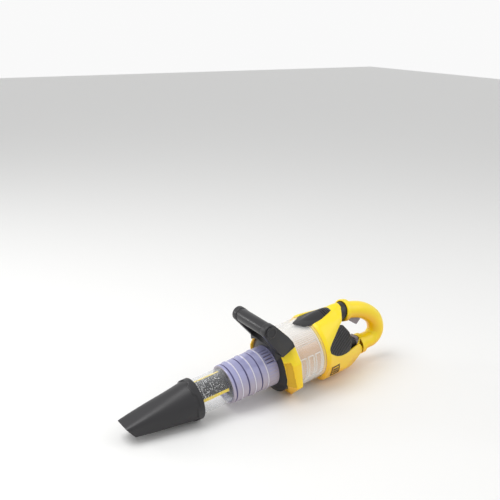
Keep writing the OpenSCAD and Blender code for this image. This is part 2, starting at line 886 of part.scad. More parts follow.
// Room for the trigger in the underside of the upper leg
module trigger_slot() {
    translate([pivot[0] - 5, -trigger_t / 2 - 0.5, pivot[1] - 30]) cube([37, trigger_t + 1, 30]);
}

module handle_right() { color(yellow) stand() mirror([0, 1, 0]) handle_half(1); }

module handle_left() { color(yellow) stand() handle_half(1); }

// Grey two-step block above the lower prong, ahead of the lower flange
module lower_bracket() {
    x0 = bracket_screw_x - 2.8;
    length = 12.4;
    floor_z = low_z + 8;
    color(grey) stand() difference() {
        union() {
            translate([x0, -11, floor_z]) cube([length, 22, 8]);
            translate([x0 + 6, -8, floor_z + 7]) cube([length - 6, 16, 5]);
        }
        translate([bracket_screw_x, 0, floor_z - 6]) cylinder(h = 30, r = 1.6, $fn = 32);
    }
}

module bracket_screw() {
    color("silver") stand() translate([bracket_screw_x, 0, low_z + 16.4]) rotate([180, 0, 0]) {
        cylinder(h = 8, r = 1.55);
        translate([0, 0, -0.3]) cylinder(h = 0.6, r = 2.6);
    }
}

module trigger() {
    color(grey) stand() difference() {
        side_plate([[pivot[0] - 4, pivot[1] - 3], [pivot[0] - 2, pivot[1] + 4], [pivot[0] + 4, pivot[1] + 3],
            [pivot[0] + 22, pivot[1] - 5], [trigger_tip[0] + 9.5, trigger_tip[1] + 7],
            [trigger_tip[0] + 1, trigger_tip[1]], [trigger_tip[0] - 2, trigger_tip[1] + 1.5],
            [pivot[0] - 1, pivot[1] - 15]], 0, trigger_t);
        translate([pivot[0], 30, pivot[1]]) rotate([90, 0, 0]) cylinder(h = 60, r = pin_r + run_fit, $fn = 48);
    }
}

module trigger_pin() {
    half = grip_r - 1.6;
    color("silver") stand() translate([pivot[0], half, pivot[1]]) rotate([90, 0, 0])
        cylinder(h = 2 * half, r = pin_r, $fn = 48);
}

// Spring between the trigger's back and the top of the handle
module trigger_spring() {
    length = 12;
    color("silver") stand() translate([pivot[0] + 12, 0, pivot[1] + 1]) difference() {
        cylinder(h = length, r = 3);
        translate([0, 0, -1]) cylinder(h = length + 2, r = 2.3);
    }
}

module trigger_switch() {
    color(grey) stand() translate([pivot[0] + 17, -3.5, pivot[1] + 1.5]) cube([9.5, 7, 6.6]);
}

module body_screws() {
    color("silver") stand() for (p = screw_spots)
        translate([p[0], 0, p[1]]) rotate([-90, 0, 0]) difference() {
            union() {
                translate([0, 0, head_y - 14]) cylinder(h = 14, r = screw_r, $fn = 48);
                translate([0, 0, head_y]) cylinder(h = 2, r = head_r, $fn = 48);
            }
            translate([-2, -0.4, head_y + 1]) cube([4, 0.8, 2]);
            translate([-0.4, -2, head_y + 1]) cube([0.8, 4, 2]);
        }
}

nozzle();
clear_tube();
tube_liner();
beads();
sleeve_rim();
sleeve();
fan_guard();
fan();
fan_shaft();
motor();
motor_mount();
collar();
front_handle();
grip_bar();
grip_caps();
cowl();
clear_housing();
works_casing();
body_right();
body_left();
core();
pad_right();
pad_left();
vent_block();
label_plate();
battery_box();
batteries();
battery_springs();
battery_door();
door_screw();
switch_contact();
top_switch();
root_insert();
handle_right();
handle_left();
lower_bracket();
bracket_screw();
trigger();
trigger_pin();
trigger_spring();
trigger_switch();
body_screws();
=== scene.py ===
# %% [markdown]
# A hand-held toy blower, dressed for rendering.
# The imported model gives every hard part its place, and this notebook gives each part its finish.
# The shapes that light plays on most, such as the nozzle and the sleeve, are worked out here with
# numpy as grids of points, because a grid keeps its curvature smooth where a cut solid has facets.

import bmesh
import bpy
import numpy as np
from mathutils import Matrix, Vector


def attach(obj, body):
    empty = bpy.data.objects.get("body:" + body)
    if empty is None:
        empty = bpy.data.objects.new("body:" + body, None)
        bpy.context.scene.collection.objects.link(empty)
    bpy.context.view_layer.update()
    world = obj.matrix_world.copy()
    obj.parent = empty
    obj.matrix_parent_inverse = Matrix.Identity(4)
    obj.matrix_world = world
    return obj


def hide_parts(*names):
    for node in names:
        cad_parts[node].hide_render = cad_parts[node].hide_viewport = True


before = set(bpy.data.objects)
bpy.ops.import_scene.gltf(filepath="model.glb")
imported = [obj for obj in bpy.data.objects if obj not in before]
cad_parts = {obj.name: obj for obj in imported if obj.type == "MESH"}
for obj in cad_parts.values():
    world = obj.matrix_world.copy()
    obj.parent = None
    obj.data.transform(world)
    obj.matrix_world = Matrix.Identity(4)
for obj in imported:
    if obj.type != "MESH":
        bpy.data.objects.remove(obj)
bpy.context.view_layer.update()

# %% [markdown]
# The blower was drawn level, along its own duct, and then set down on its cowl and nozzle band.
# Every shape below is thought out in that level drawing, in millimetres: s runs along the duct
# towards the rear handle, y across it, v upwards. The tilt follows from the two points that touch
# the ground. The shift puts the cowl's foot at height 0 and the middle of the length at the origin.

# %% From the level drawing to the scene
FOOT_S, FOOT_V = 28.0, -56.9
BAND_S, BAND_V = -154.0, -33.1
MOUTH_TOP_S, MOUTH_TOP_V = -262.0, -11.0
HEEL_S, HEEL_V, HEEL_REACH = 224.869, -22.095, 34.0
TILT = np.arctan2(BAND_V - FOOT_V, FOOT_S - BAND_S)
FRONT_X = MOUTH_TOP_S * np.cos(TILT) + MOUTH_TOP_V * np.sin(TILT)
REAR_X = HEEL_S * np.cos(TILT) - HEEL_V * np.sin(TILT) + HEEL_REACH
SHIFT_S = -(FRONT_X + REAR_X) / 2
SHIFT_V = -(FOOT_S * np.sin(TILT) + FOOT_V * np.cos(TILT))


def place(points):
    """Level mm to scene metres: x = s cos(a) - v sin(a) + shift, z = s sin(a) + v cos(a) + shift."""
    points = np.asarray(points, dtype=float)
    s, y, v = points[..., 0], points[..., 1], points[..., 2]
    x = s * np.cos(TILT) - v * np.sin(TILT) + SHIFT_S
    z = s * np.sin(TILT) + v * np.cos(TILT) + SHIFT_V
    return np.stack([x, y, z], axis=-1) / 1000


print("tilt in degrees:", round(float(np.degrees(TILT)), 5), "shift in mm:", np.round([SHIFT_S, SHIFT_V], 4))

# %% [markdown]
# A surface is a table of points. Row i, column j of the table is joined to its four neighbours by
# one quad, and a table may close on itself in either direction, as a tube does. Blender takes the
# whole table at once through foreach_set, which is far quicker than adding vertices one by one.

# %% A mesh from a grid of points


def grid_faces(rows, cols, wrap_rows, wrap_cols, flip):
    """Quads (i, j), (i, j+1), (i+1, j+1), (i+1, j), with indices modulo the table where it wraps."""
    i = np.arange(rows if wrap_rows else rows - 1)[:, None]
    j = np.arange(cols if wrap_cols else cols - 1)[None, :]
    i2, j2 = (i + 1) % rows, (j + 1) % cols
    quads = np.stack([i * cols + j, i * cols + j2, i2 * cols + j2, i2 * cols + j], axis=-1).reshape(-1, 4)
    return quads[:, ::-1] if flip else quads


def in_scene(name, data):
    """A new object in the scene that shows the given mesh, lamp or camera."""
    piece = bpy.data.objects.new(name, data)
    bpy.context.scene.collection.objects.link(piece)
    return piece


def mesh_object(name, points, quads, smooth=True):
    """An object at the origin from level points in mm and an array of quads."""
    points = place(np.asarray(points, dtype=float).reshape(-1, 3))
    mesh = bpy.data.meshes.new(name)
    mesh.vertices.add(len(points))
    mesh.vertices.foreach_set("co", points.astype(np.float32).ravel())
    mesh.loops.add(quads.size)
    mesh.loops.foreach_set("vertex_index", quads.astype(np.int32).ravel())
    mesh.polygons.add(len(quads))
    mesh.polygons.foreach_set("loop_start", np.arange(0, quads.size, 4, dtype=np.int32))
    mesh.polygons.foreach_set("use_smooth", np.full(len(quads), smooth))
    mesh.update(calc_edges=True)
    mesh.validate()
    piece = in_scene(name, mesh)
    print(f"{name}: {len(points)} points, {len(quads)} faces")
    return piece


def grid_object(name, table, wrap_rows=False, wrap_cols=True, flip=False, smooth=True):
    """A piece from one table of level points, shape rows x cols x 3."""
    table = np.asarray(table, dtype=float)
    rows, cols = table.shape[:2]
    return mesh_object(name, table, grid_faces(rows, cols, wrap_rows, wrap_cols, flip), smooth)


def full_turn(count):
    """Angles at equal steps round a circle, in radians."""
    return np.linspace(0, 2 * np.pi, count, endpoint=False)


def smoothstep(t):
    """3 t^2 - 2 t^3 on t held between 0 and 1: a soft step."""
    t = np.clip(t, 0, 1)
    return t * t * (3 - 2 * t)


def thicken(piece, wall_mm):
    """Turns a skin into a shell that grows inwards."""
    wall = piece.modifiers.new("wall", "SOLIDIFY")
    wall.thickness, wall.offset = wall_mm / 1000, -1
    return wall


def soften(piece, width_mm, segments, angle):
    """Rounds every edge that is sharper than the angle, in degrees."""
    soft = piece.modifiers.new("soft_edges", "BEVEL")
    soft.width, soft.segments = width_mm / 1000, segments
    soft.limit_method, soft.angle_limit = "ANGLE", np.radians(angle)


def dress(piece, node, body, slot, *materials):
    """Gives a piece its materials, hides the CAD node it stands in for and hangs it on the body it rides on;
    the slot is not used.
    """
    for material in materials:
        piece.data.materials.append(material)
    if node:
        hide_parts(node)
    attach(piece, body)


# %% [markdown]
# Colours are written as the hex values that a paint chart would give. Blender computes in linear
# light, so one function undoes the sRGB curve: a channel c above 0.04 becomes ((c + 0.055)/1.055)^2.4.
# A second helper adds a shader node with its settings and links, so each material reads like a recipe.

# %% Colour and node helpers


def paint(code):
    """sRGB hex to linear RGBA."""
    c = np.array([int(code[i:i + 2], 16) for i in (1, 3, 5)]) / 255
    lin = np.where(c <= 0.04045, c / 12.92, ((c + 0.055) / 1.055) ** 2.4)
    return (*map(float, lin), 1.0)


def add(tree, kind, links=None, **settings):
    """Adds a node. A setting named like a socket goes to that socket, any other to the node itself."""
    node = tree.nodes.new(kind)
    for key, value in settings.items():
        if hasattr(node, key):
            setattr(node, key, value)
    for key, value in settings.items():
        if not hasattr(node, key):
            node.inputs[key.replace("_", " ")].default_value = value
    for socket, source in (links or {}).items():
        tree.links.new(source, node.inputs[socket])
    return node


def new_material(name):
    """A material with an empty node tree."""
    material = bpy.data.materials.new(name)
    material.use_nodes = True
    material.node_tree.nodes.clear()
    return material, material.node_tree


def plastic(name, color, roughness, grain_mm, grain_depth, streak=0.02, under=None,
            turn=(-0.6, 0.7), **shader):
    """A moulded plastic: one colour with faint clouding, and a fine grain that dulls its highlights.

    Faces whose normal's height falls from turn[1] to turn[0] fade to the colour under, a painted shade, if
    one is given.
    """
    material, tree = new_material(name)
    coords = add(tree, "ShaderNodeTexCoord").outputs["Object"]
    cloud = add(tree, "ShaderNodeTexNoise", {"Vector": coords}, Scale=45.0, Detail=2.0)
    dark = tuple(c * (1 - streak) for c in paint(color)[:3]) + (1.0,)
    light = tuple(min(1, c * (1 + streak)) for c in paint(color)[:3]) + (1.0,)
    tint = add(tree, "ShaderNodeMix", {0: cloud.outputs["Fac"]}, data_type="RGBA")
    tint.inputs[6].default_value, tint.inputs[7].default_value = dark, light
    color_out = tint.outputs[2]
    # Painted shade: faces that look down fade to the colour under.
    if under:
        normal = add(tree, "ShaderNodeNewGeometry").outputs["Normal"]
        height = add(tree, "ShaderNodeSeparateXYZ", {0: normal}).outputs["Z"]
        up = add(tree, "ShaderNodeMapRange", {"Value": height}, interpolation_type="SMOOTHSTEP",
                 From_Min=turn[0], From_Max=turn[1])
        fade = add(tree, "ShaderNodeMix", {0: up.outputs[0], 7: color_out}, data_type="RGBA")
        fade.inputs[6].default_value = paint(under)
        color_out = fade.outputs[2]
    grain = add(tree, "ShaderNodeTexNoise", {"Vector": coords}, Scale=1000.0 / grain_mm, Detail=3.0)
    bump = add(tree, "ShaderNodeBump", {"Height": grain.outputs["Fac"]}, Distance=grain_depth / 1000,
               Strength=0.6)
    rough = add(tree, "ShaderNodeMapRange", {"Value": cloud.outputs["Fac"]}, To_Min=roughness - 0.05,
                To_Max=roughness + 0.05)
    body = add(tree, "ShaderNodeBsdfPrincipled",
               {"Base Color": color_out, "Normal": bump.outputs["Normal"], "Roughness": rough.outputs[0]},
               **shader)
    add(tree, "ShaderNodeOutputMaterial", {"Surface": body.outputs[0]})
    return material


def finish_node(name, material):
    """Gives a CAD node its material in every slot."""
    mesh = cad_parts[name].data
    mesh.materials.clear()
    mesh.materials.append(material)


print("sRGB #808080 is", np.round(paint("#808080")[0], 3), "in linear light")

# %% [markdown]
# Nearly the whole toy is injection-moulded ABS. The yellow parts come out of a polished mould, so
# they are glossy, and light that enters them leaves a little warmer. The orange of their faces that
# look down is painted shade in the colour. The black parts come out of an etched mould, so their
# highlights are broad and soft.

# %% Plastics
# Glossy ABS from a polished mould: tight highlights, a faint warm glow where light leaves it, and an orange
# painted shade on faces that look down.
yellow_abs = plastic("glossy_yellow_abs", "#FFE01C", 0.3, 1.2, 0.006, 0.01, under="#FFBE00",
                     turn=(-0.7, 0.45), IOR=1.5, Subsurface_Weight=0.1, Subsurface_Radius=(1.0, 0.6, 0.1),
                     Subsurface_Scale=0.004)
# The same yellow ABS, rougher and darker on the sunk cowl panels: the darker yellow is painted shade in the
# recess.
panel_shade_yellow = plastic("painted_shade_yellow_panel", "#D8A900", 0.5, 0.5, 0.02, 0.02, IOR=1.5)
# Etched black ABS: broad, soft highlights.
black_abs = plastic("etched_black_abs", "#1D1C1F", 0.4, 0.5, 0.02, 0.03, IOR=1.5)
# Black ABS with a finer etch: a slightly sharper streak of light.
soft_black = plastic("satin_black_abs", "#1B1A1D", 0.33, 0.6, 0.015, 0.03, IOR=1.5)
# ABS with pearl pigment: lilac, with a greyer painted shade on faces that look down.
lilac_abs = plastic("pearl_lilac_abs", "#A2A2C8", 0.25, 0.9, 0.006, 0.015, under="#B3A9B6", turn=(-0.3, 0.75),
                    IOR=1.53, Metallic=0.1)
# The sleeve's grooves and deepest flute slots: the same pearl ABS drawn darker, as painted shade.
groove_shade_lilac = plastic("shaded_lilac_groove", "#5E5B85", 0.4, 0.9, 0.006, 0.015, IOR=1.5)
# The tops of the sleeve's raised beads: a pale lilac drawn on as a painted highlight.
bead_highlight_lilac = plastic("painted_highlight_pearl_abs", "#D6D3DE", 0.25, 0.9, 0.01, 0.02, IOR=1.53)
# Grey ABS with a satin etch: no clear reflections.
grey_abs = plastic("satin_grey_abs", "#8B8388", 0.42, 0.6, 0.02, 0.03, IOR=1.5)
# Cream ABS under a clear cover: pale on top, with a tan painted shade on the faces that look sideways or
# down.
cream_abs = plastic("glossy_cream_abs", "#F6F1EC", 0.22, 1.0, 0.006, 0.02, under="#E2BA90", turn=(0.45, 0.95),
                    IOR=1.53)
# The casing's ribs: the same ABS, drawn lighter as a painted highlight on their edges.
rib_highlight_abs = plastic("painted_highlight_rib_abs", "#FFF6E8", 0.2, 1.0, 0.006, 0.02, IOR=1.53)
# Light foam: white and dull. The fan, a white moulding that hardly shows, shares it.
white_abs = plastic("white_bead_foam", "#F2F2F2", 0.5, 0.3, 0.02, 0.02, IOR=1.49)
# Moulded rubber: its ribs are geometry, and it keeps a soft sheen.
pad_rubber = plastic("ribbed_pad_rubber", "#1C1B1F", 0.36, 0.5, 0.02, 0.03, IOR=1.5)
# Printed film: flat brown lines.
brown_print = plastic("printed_brown_film", "#5A3D16", 0.4, 0.5, 0.01, 0.03, IOR=1.5)
# Drawn aluminium and zinc plating: hidden inside, or small screw heads.
can_metal = plastic("drawn_aluminium_can", "#C4C5C9", 0.35, 0.4, 0.02, 0.04, Metallic=1.0)
plated_steel = plastic("zinc_plated_steel", "#B9BABF", 0.32, 0.3, 0.02, 0.05, Metallic=1.0)


def clear_plastic(name, haze, edge, roughness):
    """Clear polystyrene: it shows what is behind it, with a faint haze and a bright grazing edge."""
    material, tree = new_material(name)
    rim = add(tree, "ShaderNodeLayerWeight", Blend=0.35)
    alpha = add(tree, "ShaderNodeMapRange", {"Value": rim.outputs["Facing"]}, To_Min=haze, To_Max=edge)
    coords = add(tree, "ShaderNodeTexCoord").outputs["Object"]
    ripple = add(tree, "ShaderNodeTexNoise", {"Vector": coords}, Scale=60.0, Detail=1.0)
    bump = add(tree, "ShaderNodeBump", {"Height": ripple.outputs["Fac"]}, Distance=0.00006, Strength=0.4)
    sockets = {"Alpha": alpha.outputs[0], "Normal": bump.outputs["Normal"]}
    body = add(tree, "ShaderNodeBsdfPrincipled", sockets, Base_Color=paint("#F4F6F8"), Roughness=roughness,
               IOR=1.59)
    add(tree, "ShaderNodeOutputMaterial", {"Surface": body.outputs[0]})
    return material


# Clear polystyrene is see-through face on and whitish where it is seen along its wall.
clear_tube_ps = clear_plastic("clear_tube_polystyrene", 0.015, 0.4, 0.05)
clear_cover_ps = clear_plastic("clear_cover_polystyrene", 0.07, 0.6, 0.07)
print("materials:", len(bpy.data.materials))

# %% Finishes of the CAD nodes
FINISHES = {
    black_abs: ["nozzle", "fan_guard", "motor_mount", "collar", "front_handle", "grip_caps", "core",
                "battery_box", "root_insert", "vent_block"],
    soft_black: ["grip_bar", "top_switch", "pad_right", "pad_left", "tube_liner"],
    yellow_abs: ["cowl", "body_right", "body_left", "battery_door", "handle_right", "handle_left"],
    lilac_abs: ["sleeve", "sleeve_rim"],
    grey_abs: ["switch_contact", "lower_bracket", "trigger", "trigger_switch"],
    cream_abs: ["works_casing"],
    white_abs: ["beads", "fan"],
    brown_print: ["label_plate"],
    can_metal: ["motor", "batteries"],
    plated_steel: ["fan_shaft", "battery_springs", "door_screw", "bracket_screw", "trigger_pin",
                   "trigger_spring", "body_screws"],
    clear_tube_ps: ["clear_tube"],
    clear_cover_ps: ["clear_housing"],
}
for finish, names in FINISHES.items():
    for name in names:
        finish_node(name, finish)
print("finished nodes:", sum(map(len, FINISHES.values())), "of", len(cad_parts))

# %% [markdown]
# The nozzle is one hollow black moulding. Its section starts as a circle and ends as a flat rounded
# slot, so it is drawn as a superellipse whose half-sizes and exponent change along the duct. A raised
# band with a wavy front edge runs round its wide end.

# %% Nozzle
BAND_START, NOZZLE_REAR, MOUTH_MID = -154.0, -140.0, -255.0
NOZZLE_RADIUS, BAND_RAISE, BORE = 31.6, 2.1, 28.9
MOUTH_HALF_W, MOUTH_HALF_H, MOUTH_LEAN = 18.0, 11.0, 7.0
NOZZLE_WALL, RIM_IN, RIM_OUT = 3.0, 1.2, 1.6
WAVES, WAVE_HALF, WAVE_TURN = 5, 2.6, 0.6


def nozzle_section(t, angle, inset):
    """Superellipse y = a sgn(cos) |cos|^(2/n), v = b sgn(sin) |sin|^(2/n).

    As t goes from 0 at the band to 1 at the mouth, a and b shrink and n grows.
    """
    a = NOZZLE_RADIUS + (MOUTH_HALF_W - NOZZLE_RADIUS) * t - inset
    b = NOZZLE_RADIUS + (MOUTH_HALF_H - NOZZLE_RADIUS) * t - inset
    n = 2 + 2.6 * t ** 2
    y = a * np.sign(np.cos(angle)) * np.abs(np.cos(angle)) ** (2 / n)
    v = b * np.sign(np.sin(angle)) * np.abs(np.sin(angle)) ** (2 / n)
    s = BAND_START + (MOUTH_MID - BAND_START) * t - MOUTH_LEAN * t ** 2 * np.clip(v / MOUTH_HALF_H, -1.6, 1.6)
    return np.stack([s, y, v], axis=-1)


def nozzle_table(around=180):
    """Rows run down the outside from the wide rim, round the lip and back up the inside."""
    angle = full_turn(around)[None, :]
    out_t = np.linspace(0, 1, 90)[:, None]
    wave = BAND_START + 3.2 + WAVE_HALF * np.tanh(3.5 * np.sin(WAVES * angle + WAVE_TURN))
    outer = nozzle_section(out_t, angle, 0 * angle)
    lip_turn = np.linspace(0, np.pi, 9)[1:-1, None]
    half_wall = NOZZLE_WALL / 2
    lip = nozzle_section(1 + 0 * lip_turn, angle, half_wall * (1 - np.cos(lip_turn)) + 0 * angle)
    lip[..., 0] -= 0.8 * half_wall * np.sin(lip_turn)
    inner = nozzle_section(out_t[::-1], angle, NOZZLE_WALL + 0 * angle)
    circle = np.stack([0 * angle, np.cos(angle), np.sin(angle)], axis=-1)
    quarter, late_quarter = np.linspace(0, 1, 5) * np.pi / 2, np.linspace(0.1, 1, 6) * np.pi / 2
    top = NOZZLE_RADIUS + BAND_RAISE
    rim_s = np.concatenate([[NOZZLE_REAR - 10, NOZZLE_REAR - RIM_IN],
                            NOZZLE_REAR - RIM_IN + RIM_IN * np.sin(quarter),
                            NOZZLE_REAR - RIM_OUT * (1 - np.cos(late_quarter)),
                            np.linspace(NOZZLE_REAR - 2, BAND_START + 0.3, 26)])[:, None]
    rim_r = np.concatenate([[BORE, BORE], BORE + RIM_IN * (1 - np.cos(quarter)),
                            top - RIM_OUT + RIM_OUT * np.sin(late_quarter), np.full(26, top)])[:, None]
    along = np.stack([rim_s + 0 * angle, 0 * rim_s * angle, 0 * rim_s * angle], axis=-1)
    rim = circle * rim_r[..., None] + along
    drop = BAND_RAISE * (1 - smoothstep((rim_s - wave) / 0.9))
    drop = np.where(rim_r >= top - 0.01, drop, 0.0)
    rim -= circle * drop[..., None]
    return np.concatenate([rim, outer[1:], lip, inner[:-1]])


nozzle_shell = grid_object("nozzle_shell", nozzle_table())
dress(nozzle_shell, "nozzle", "nozzle", "black", black_abs)

# %% [markdown]
# The sleeve is turned about the duct, so only its profile has to be drawn: a radius for each station.
# Three raised bands, each with a raised step and a groove beside it, stand in front of a zone of
# fine flutes. The grooves and the deepest flute slots are drawn darker as painted shade, and the bead
# tops paler as painted highlight. A lathe is the cheapest smooth surface there is: one profile,
# repeated round a circle.

# %% Lathe, sleeve and front ring


def lathe(name, s, r, around=192, flip=False):
    """Surface of turning: point (s, r cos(a), r sin(a)); r may be one column or a table over the angle."""
    angle = full_turn(around)[None, :]
    s, r = np.asarray(s, float).reshape(len(s), -1), np.asarray(r, float).reshape(len(r), -1)
    table = np.stack([s + 0 * angle, r * np.cos(angle) + 0 * s, r * np.sin(angle) + 0 * s], axis=-1)
    return grid_object(name, table, wrap_rows=True, flip=flip)


SLEEVE_FRONT, FLUTE_START = -83.0, -21.0
FLUTES, SLOT_MIDDLE = 36, np.radians(121)
GROOVES, GROOVE_DEPTH = (-80.7, -57.5, -33.0), 2.3
BEADS, BEAD_HEIGHT = (-70.5, -46.0, -21.8), 1.0


def sleeve_radius(s):
    """A slow flare, r = 32.1 + 2.4 (s + 86)/86."""
    return 32.1 + 2.4 * (s + 86) / 86


def sleeve_profile(around):
    """Steps: a groove at each band's front, then a bead; flutes dip by a power of the cosine of the angle."""
    angle = full_turn(around)[None, :]
    s = np.linspace(SLEEVE_FRONT, 0, 330)[:, None]
    groove = sum(-GROOVE_DEPTH * smoothstep((1.5 - np.abs(s - at)) / 0.6) for at in GROOVES)
    bead = sum(BEAD_HEIGHT * smoothstep((1.3 - np.abs(s - at)) / 0.5) for at in BEADS)
    banded = groove + bead + 0 * angle
    reach = smoothstep((s - FLUTE_START - 3) / 1.5) * (1 - smoothstep((s + 3.5) / 1.5))
    slots = smoothstep(np.cos(angle - SLOT_MIDDLE) * 14 - 12.2)
    flute = -reach * (0.5 + 1.7 * slots) * np.maximum(np.cos(FLUTES * angle), 0) ** 1.5
    edge = -0.8 * (1 - np.sqrt(np.clip(1 - ((s + 0.8) / 0.8).clip(0, 1) ** 2, 0, 1)))
    return s, sleeve_radius(s) + banded + edge + flute


def sleeve_table(around=FLUTES * 14):
    """The outside, then the bore back again, as one closed loop of rows."""
    s, r = sleeve_profile(around)
    back = np.linspace(4.5, SLEEVE_FRONT, 14)[:, None]
    tail = np.array([[0.0], [4.5]])
    s_all = np.concatenate([s, tail, back])
    r_all = np.concatenate([r, np.full((2, around), 31.2), np.full((14, around), 28.9)])
    angle = full_turn(around)[None, :]
    return np.stack([s_all + 0 * angle, r_all * np.cos(angle), r_all * np.sin(angle)], axis=-1)


sleeve_body = grid_object("sleeve_body", sleeve_table(), wrap_rows=True, flip=True)
sleeve_s, sleeve_r = sleeve_profile(FLUTES * 14)
lowered = sleeve_r - sleeve_radius(sleeve_s)
# Painted shade and highlight: index 1 darkens the grooves and deep flute slots, index 2 lightens the bead
# tops.
shade_and_highlight = np.where((lowered < -1.2) & (sleeve_s < -1.5), 1, np.where(lowered > 0.6, 2, 0))
painted_light_index = np.zeros(len(sleeve_body.data.polygons), np.int32)
painted_light_index[:shade_and_highlight.size] = shade_and_highlight.ravel()
sleeve_body.data.polygons.foreach_set("material_index", painted_light_index)
dress(sleeve_body, "sleeve", "tool", "lilac", lilac_abs, groove_shade_lilac, bead_highlight_lilac)

# %% [markdown]
# Inside the clear tube a curved black panel carries two yellow stripes, and light foam beads cling
# to the wall beside it, thickest at the nozzle's end. The panel is a strip of a cylinder. The beads
# are a few hundred tiny balls with a few dozen faces each, all in one mesh.

# %% Panel, stripes and beads in the clear tube
TUBE_IN, LINER_R = 26.8, 23.8
TUBE_FROM, TUBE_TO = -144.0, -90.0


def tube_strip(name, a0, a1, s0, s1, r_out, thick, rows=40, cols=60):
    """Closed strip of a tube between two angles above the near horizontal: y = -r cos(a), v = r sin(a)."""
    a = np.radians(np.linspace(a0, a1, cols))[None, :]
    ring = np.concatenate([np.stack([-np.cos(a), np.sin(a)], -1)[0] * r_out,
                           (np.stack([-np.cos(a), np.sin(a)], -1)[0] * (r_out - thick))[::-1]])
    s = np.linspace(s0, s1, rows)
    table = np.concatenate([np.broadcast_to(s[:, None, None], (rows, len(ring), 1)),
                            np.broadcast_to(ring[None], (rows, len(ring), 2))], axis=-1)
    ends = [np.broadcast_to(table[k].mean(0), table[k].shape)[None] for k in (0, -1)]
    table = np.concatenate([ends[0], table, ends[1]])
    return grid_object(name, table, smooth=False)


liner_panel = tube_strip("liner_panel", 17, 107, TUBE_FROM, TUBE_TO, LINER_R, 1.0)
dress(liner_panel, "tube_liner", "tool", "liner", soft_black)
for label, a0, a1 in (("near", 6, 17), ("far", 100, 111)):
    stripe = tube_strip(f"liner_stripe_{label}", a0, a1, TUBE_FROM + 2, TUBE_TO, LINER_R + 0.5, 1.2)
    dress(stripe, None, "tool", "yellow", yellow_abs)


def ball(rings=4, sides=7):
    """Unit ball: rows of latitude, columns of longitude, with a single point at each pole."""
    lat = np.linspace(-np.pi / 2, np.pi / 2, rings + 2)[1:-1]
    lon = full_turn(sides)
    body = np.stack([np.cos(lat)[:, None] * np.cos(lon), np.cos(lat)[:, None] * np.sin(lon),
                     np.sin(lat)[:, None] + 0 * lon], axis=-1).reshape(-1, 3)
    return np.concatenate([[[0, 0, -1]], body, [[0, 0, 1]]])


def ball_faces(rings=4, sides=7):
    """Quads between the rows, and triangles written as 3 corners at the poles."""
    j = np.arange(sides)
    j2 = (j + 1) % sides
    low = np.stack([np.zeros(sides, int), 1 + j2, 1 + j], axis=-1)
    top = 1 + rings * sides
    high = np.stack([np.full(sides, top), top - sides + j, top - sides + j2], axis=-1)
    r = np.arange(rings - 1)[:, None] * sides
    a, b = 1 + r + j, 1 + r + j2
    quads = np.stack([a, b, b + sides, a + sides], axis=-1).reshape(-1, 4)
    return np.concatenate([low, high, quads[:, [0, 1, 2]], quads[:, [0, 2, 3]]])


CROWDING, SHARE_ON_PANEL = 2.2, 0.8


def bead_cloud(count=520, seed=7):
    """Balls at random angles and stations; a uniform draw to a power crowds the stations at the front."""
    draw = np.random.default_rng(seed)
    radius = 0.25 + 0.5 * draw.random(count) ** 2
    s = TUBE_FROM + 3 + (TUBE_TO - TUBE_FROM - 8) * draw.random(count) ** CROWDING
    near = draw.random(count) < SHARE_ON_PANEL
    angle = np.radians(np.where(near, 14 + 78 * draw.random(count), 360 * draw.random(count)))
    r = TUBE_IN - radius - 0.05
    centre = np.stack([s, -r * np.cos(angle), r * np.sin(angle)], axis=-1)
    points = centre[:, None, :] + radius[:, None, None] * ball()[None]
    faces = ball_faces()[None] + (np.arange(count) * len(ball()))[:, None, None]
    return points.reshape(-1, 3), faces.reshape(-1, 3)


def triangle_object(name, points, triangles):
    """An object from level points in mm and triangles."""
    mesh = bpy.data.meshes.new(name)
    mesh.from_pydata(place(points).tolist(), [], triangles.tolist())
    mesh.shade_smooth()
    piece = in_scene(name, mesh)
    print(f"{name}: {len(points)} points, {len(triangles)} triangles")
    return piece


foam_beads = triangle_object("foam_beads", *bead_cloud())
dress(foam_beads, "beads", "tool", "white", white_abs)

# %% [markdown]
# The motor body and the cowl are both tight wraps round a few blocks: a round edge at one end and
# flat-sided blocks at the other. Such a wrap is bounded by planes n . x = d. Seen from the duct's
# axis, the plane's distance in the direction a is (d - n_s s) / (n_w cos a + n_v sin a), and the
# nearest plane wins. Averaging that distance over a neighbourhood rounds the edges like a mould does.

# %% Radius of a wrapped form


def block(s0, s1, half, v0, v1):
    """The eight corners of a box that is symmetric about the middle plane."""
    return np.array([(s, w, v) for s in (s0, s1) for w in (-half, half) for v in (v0, v1)], float)


def ring(s, r, sides=96):
    """Points round a circle of radius r at station s."""
    t = full_turn(sides)
    return np.stack([np.full(sides, s), r * np.cos(t), r * np.sin(t)], axis=-1)


def hull_planes(points):
    """Unit normals n and distances d of the planes that wrap a cloud of points, n facing outwards."""
    cloud = bpy.data.meshes.new("cloud")
    cloud.from_pydata(points, [], [])
    work = bmesh.new()
    work.from_mesh(cloud)
    bmesh.ops.convex_hull(work, input=work.verts)
    work.to_mesh(cloud)
    work.free()
    n, c = np.zeros(3 * len(cloud.polygons)), np.zeros(3 * len(cloud.polygons))
    cloud.polygons.foreach_get("normal", n)
    cloud.polygons.foreach_get("center", c)
    bpy.data.meshes.remove(cloud)
    n, c = n.reshape(-1, 3), c.reshape(-1, 3)
    n = n * np.sign((n * (c - points.mean(axis=0))).sum(axis=1, keepdims=True))
    return n, (n * c).sum(axis=1)


def blur_rows(values, step, sigma):
    """Gaussian mean along the last axis; each row of weights adds up to one, so the ends stay put."""
    at = np.arange(values.shape[-1]) * step
    weights = np.exp(-0.5 * ((at[:, None] - at[None, :]) / sigma) ** 2)
    return values @ (weights / weights.sum(axis=1, keepdims=True)).T


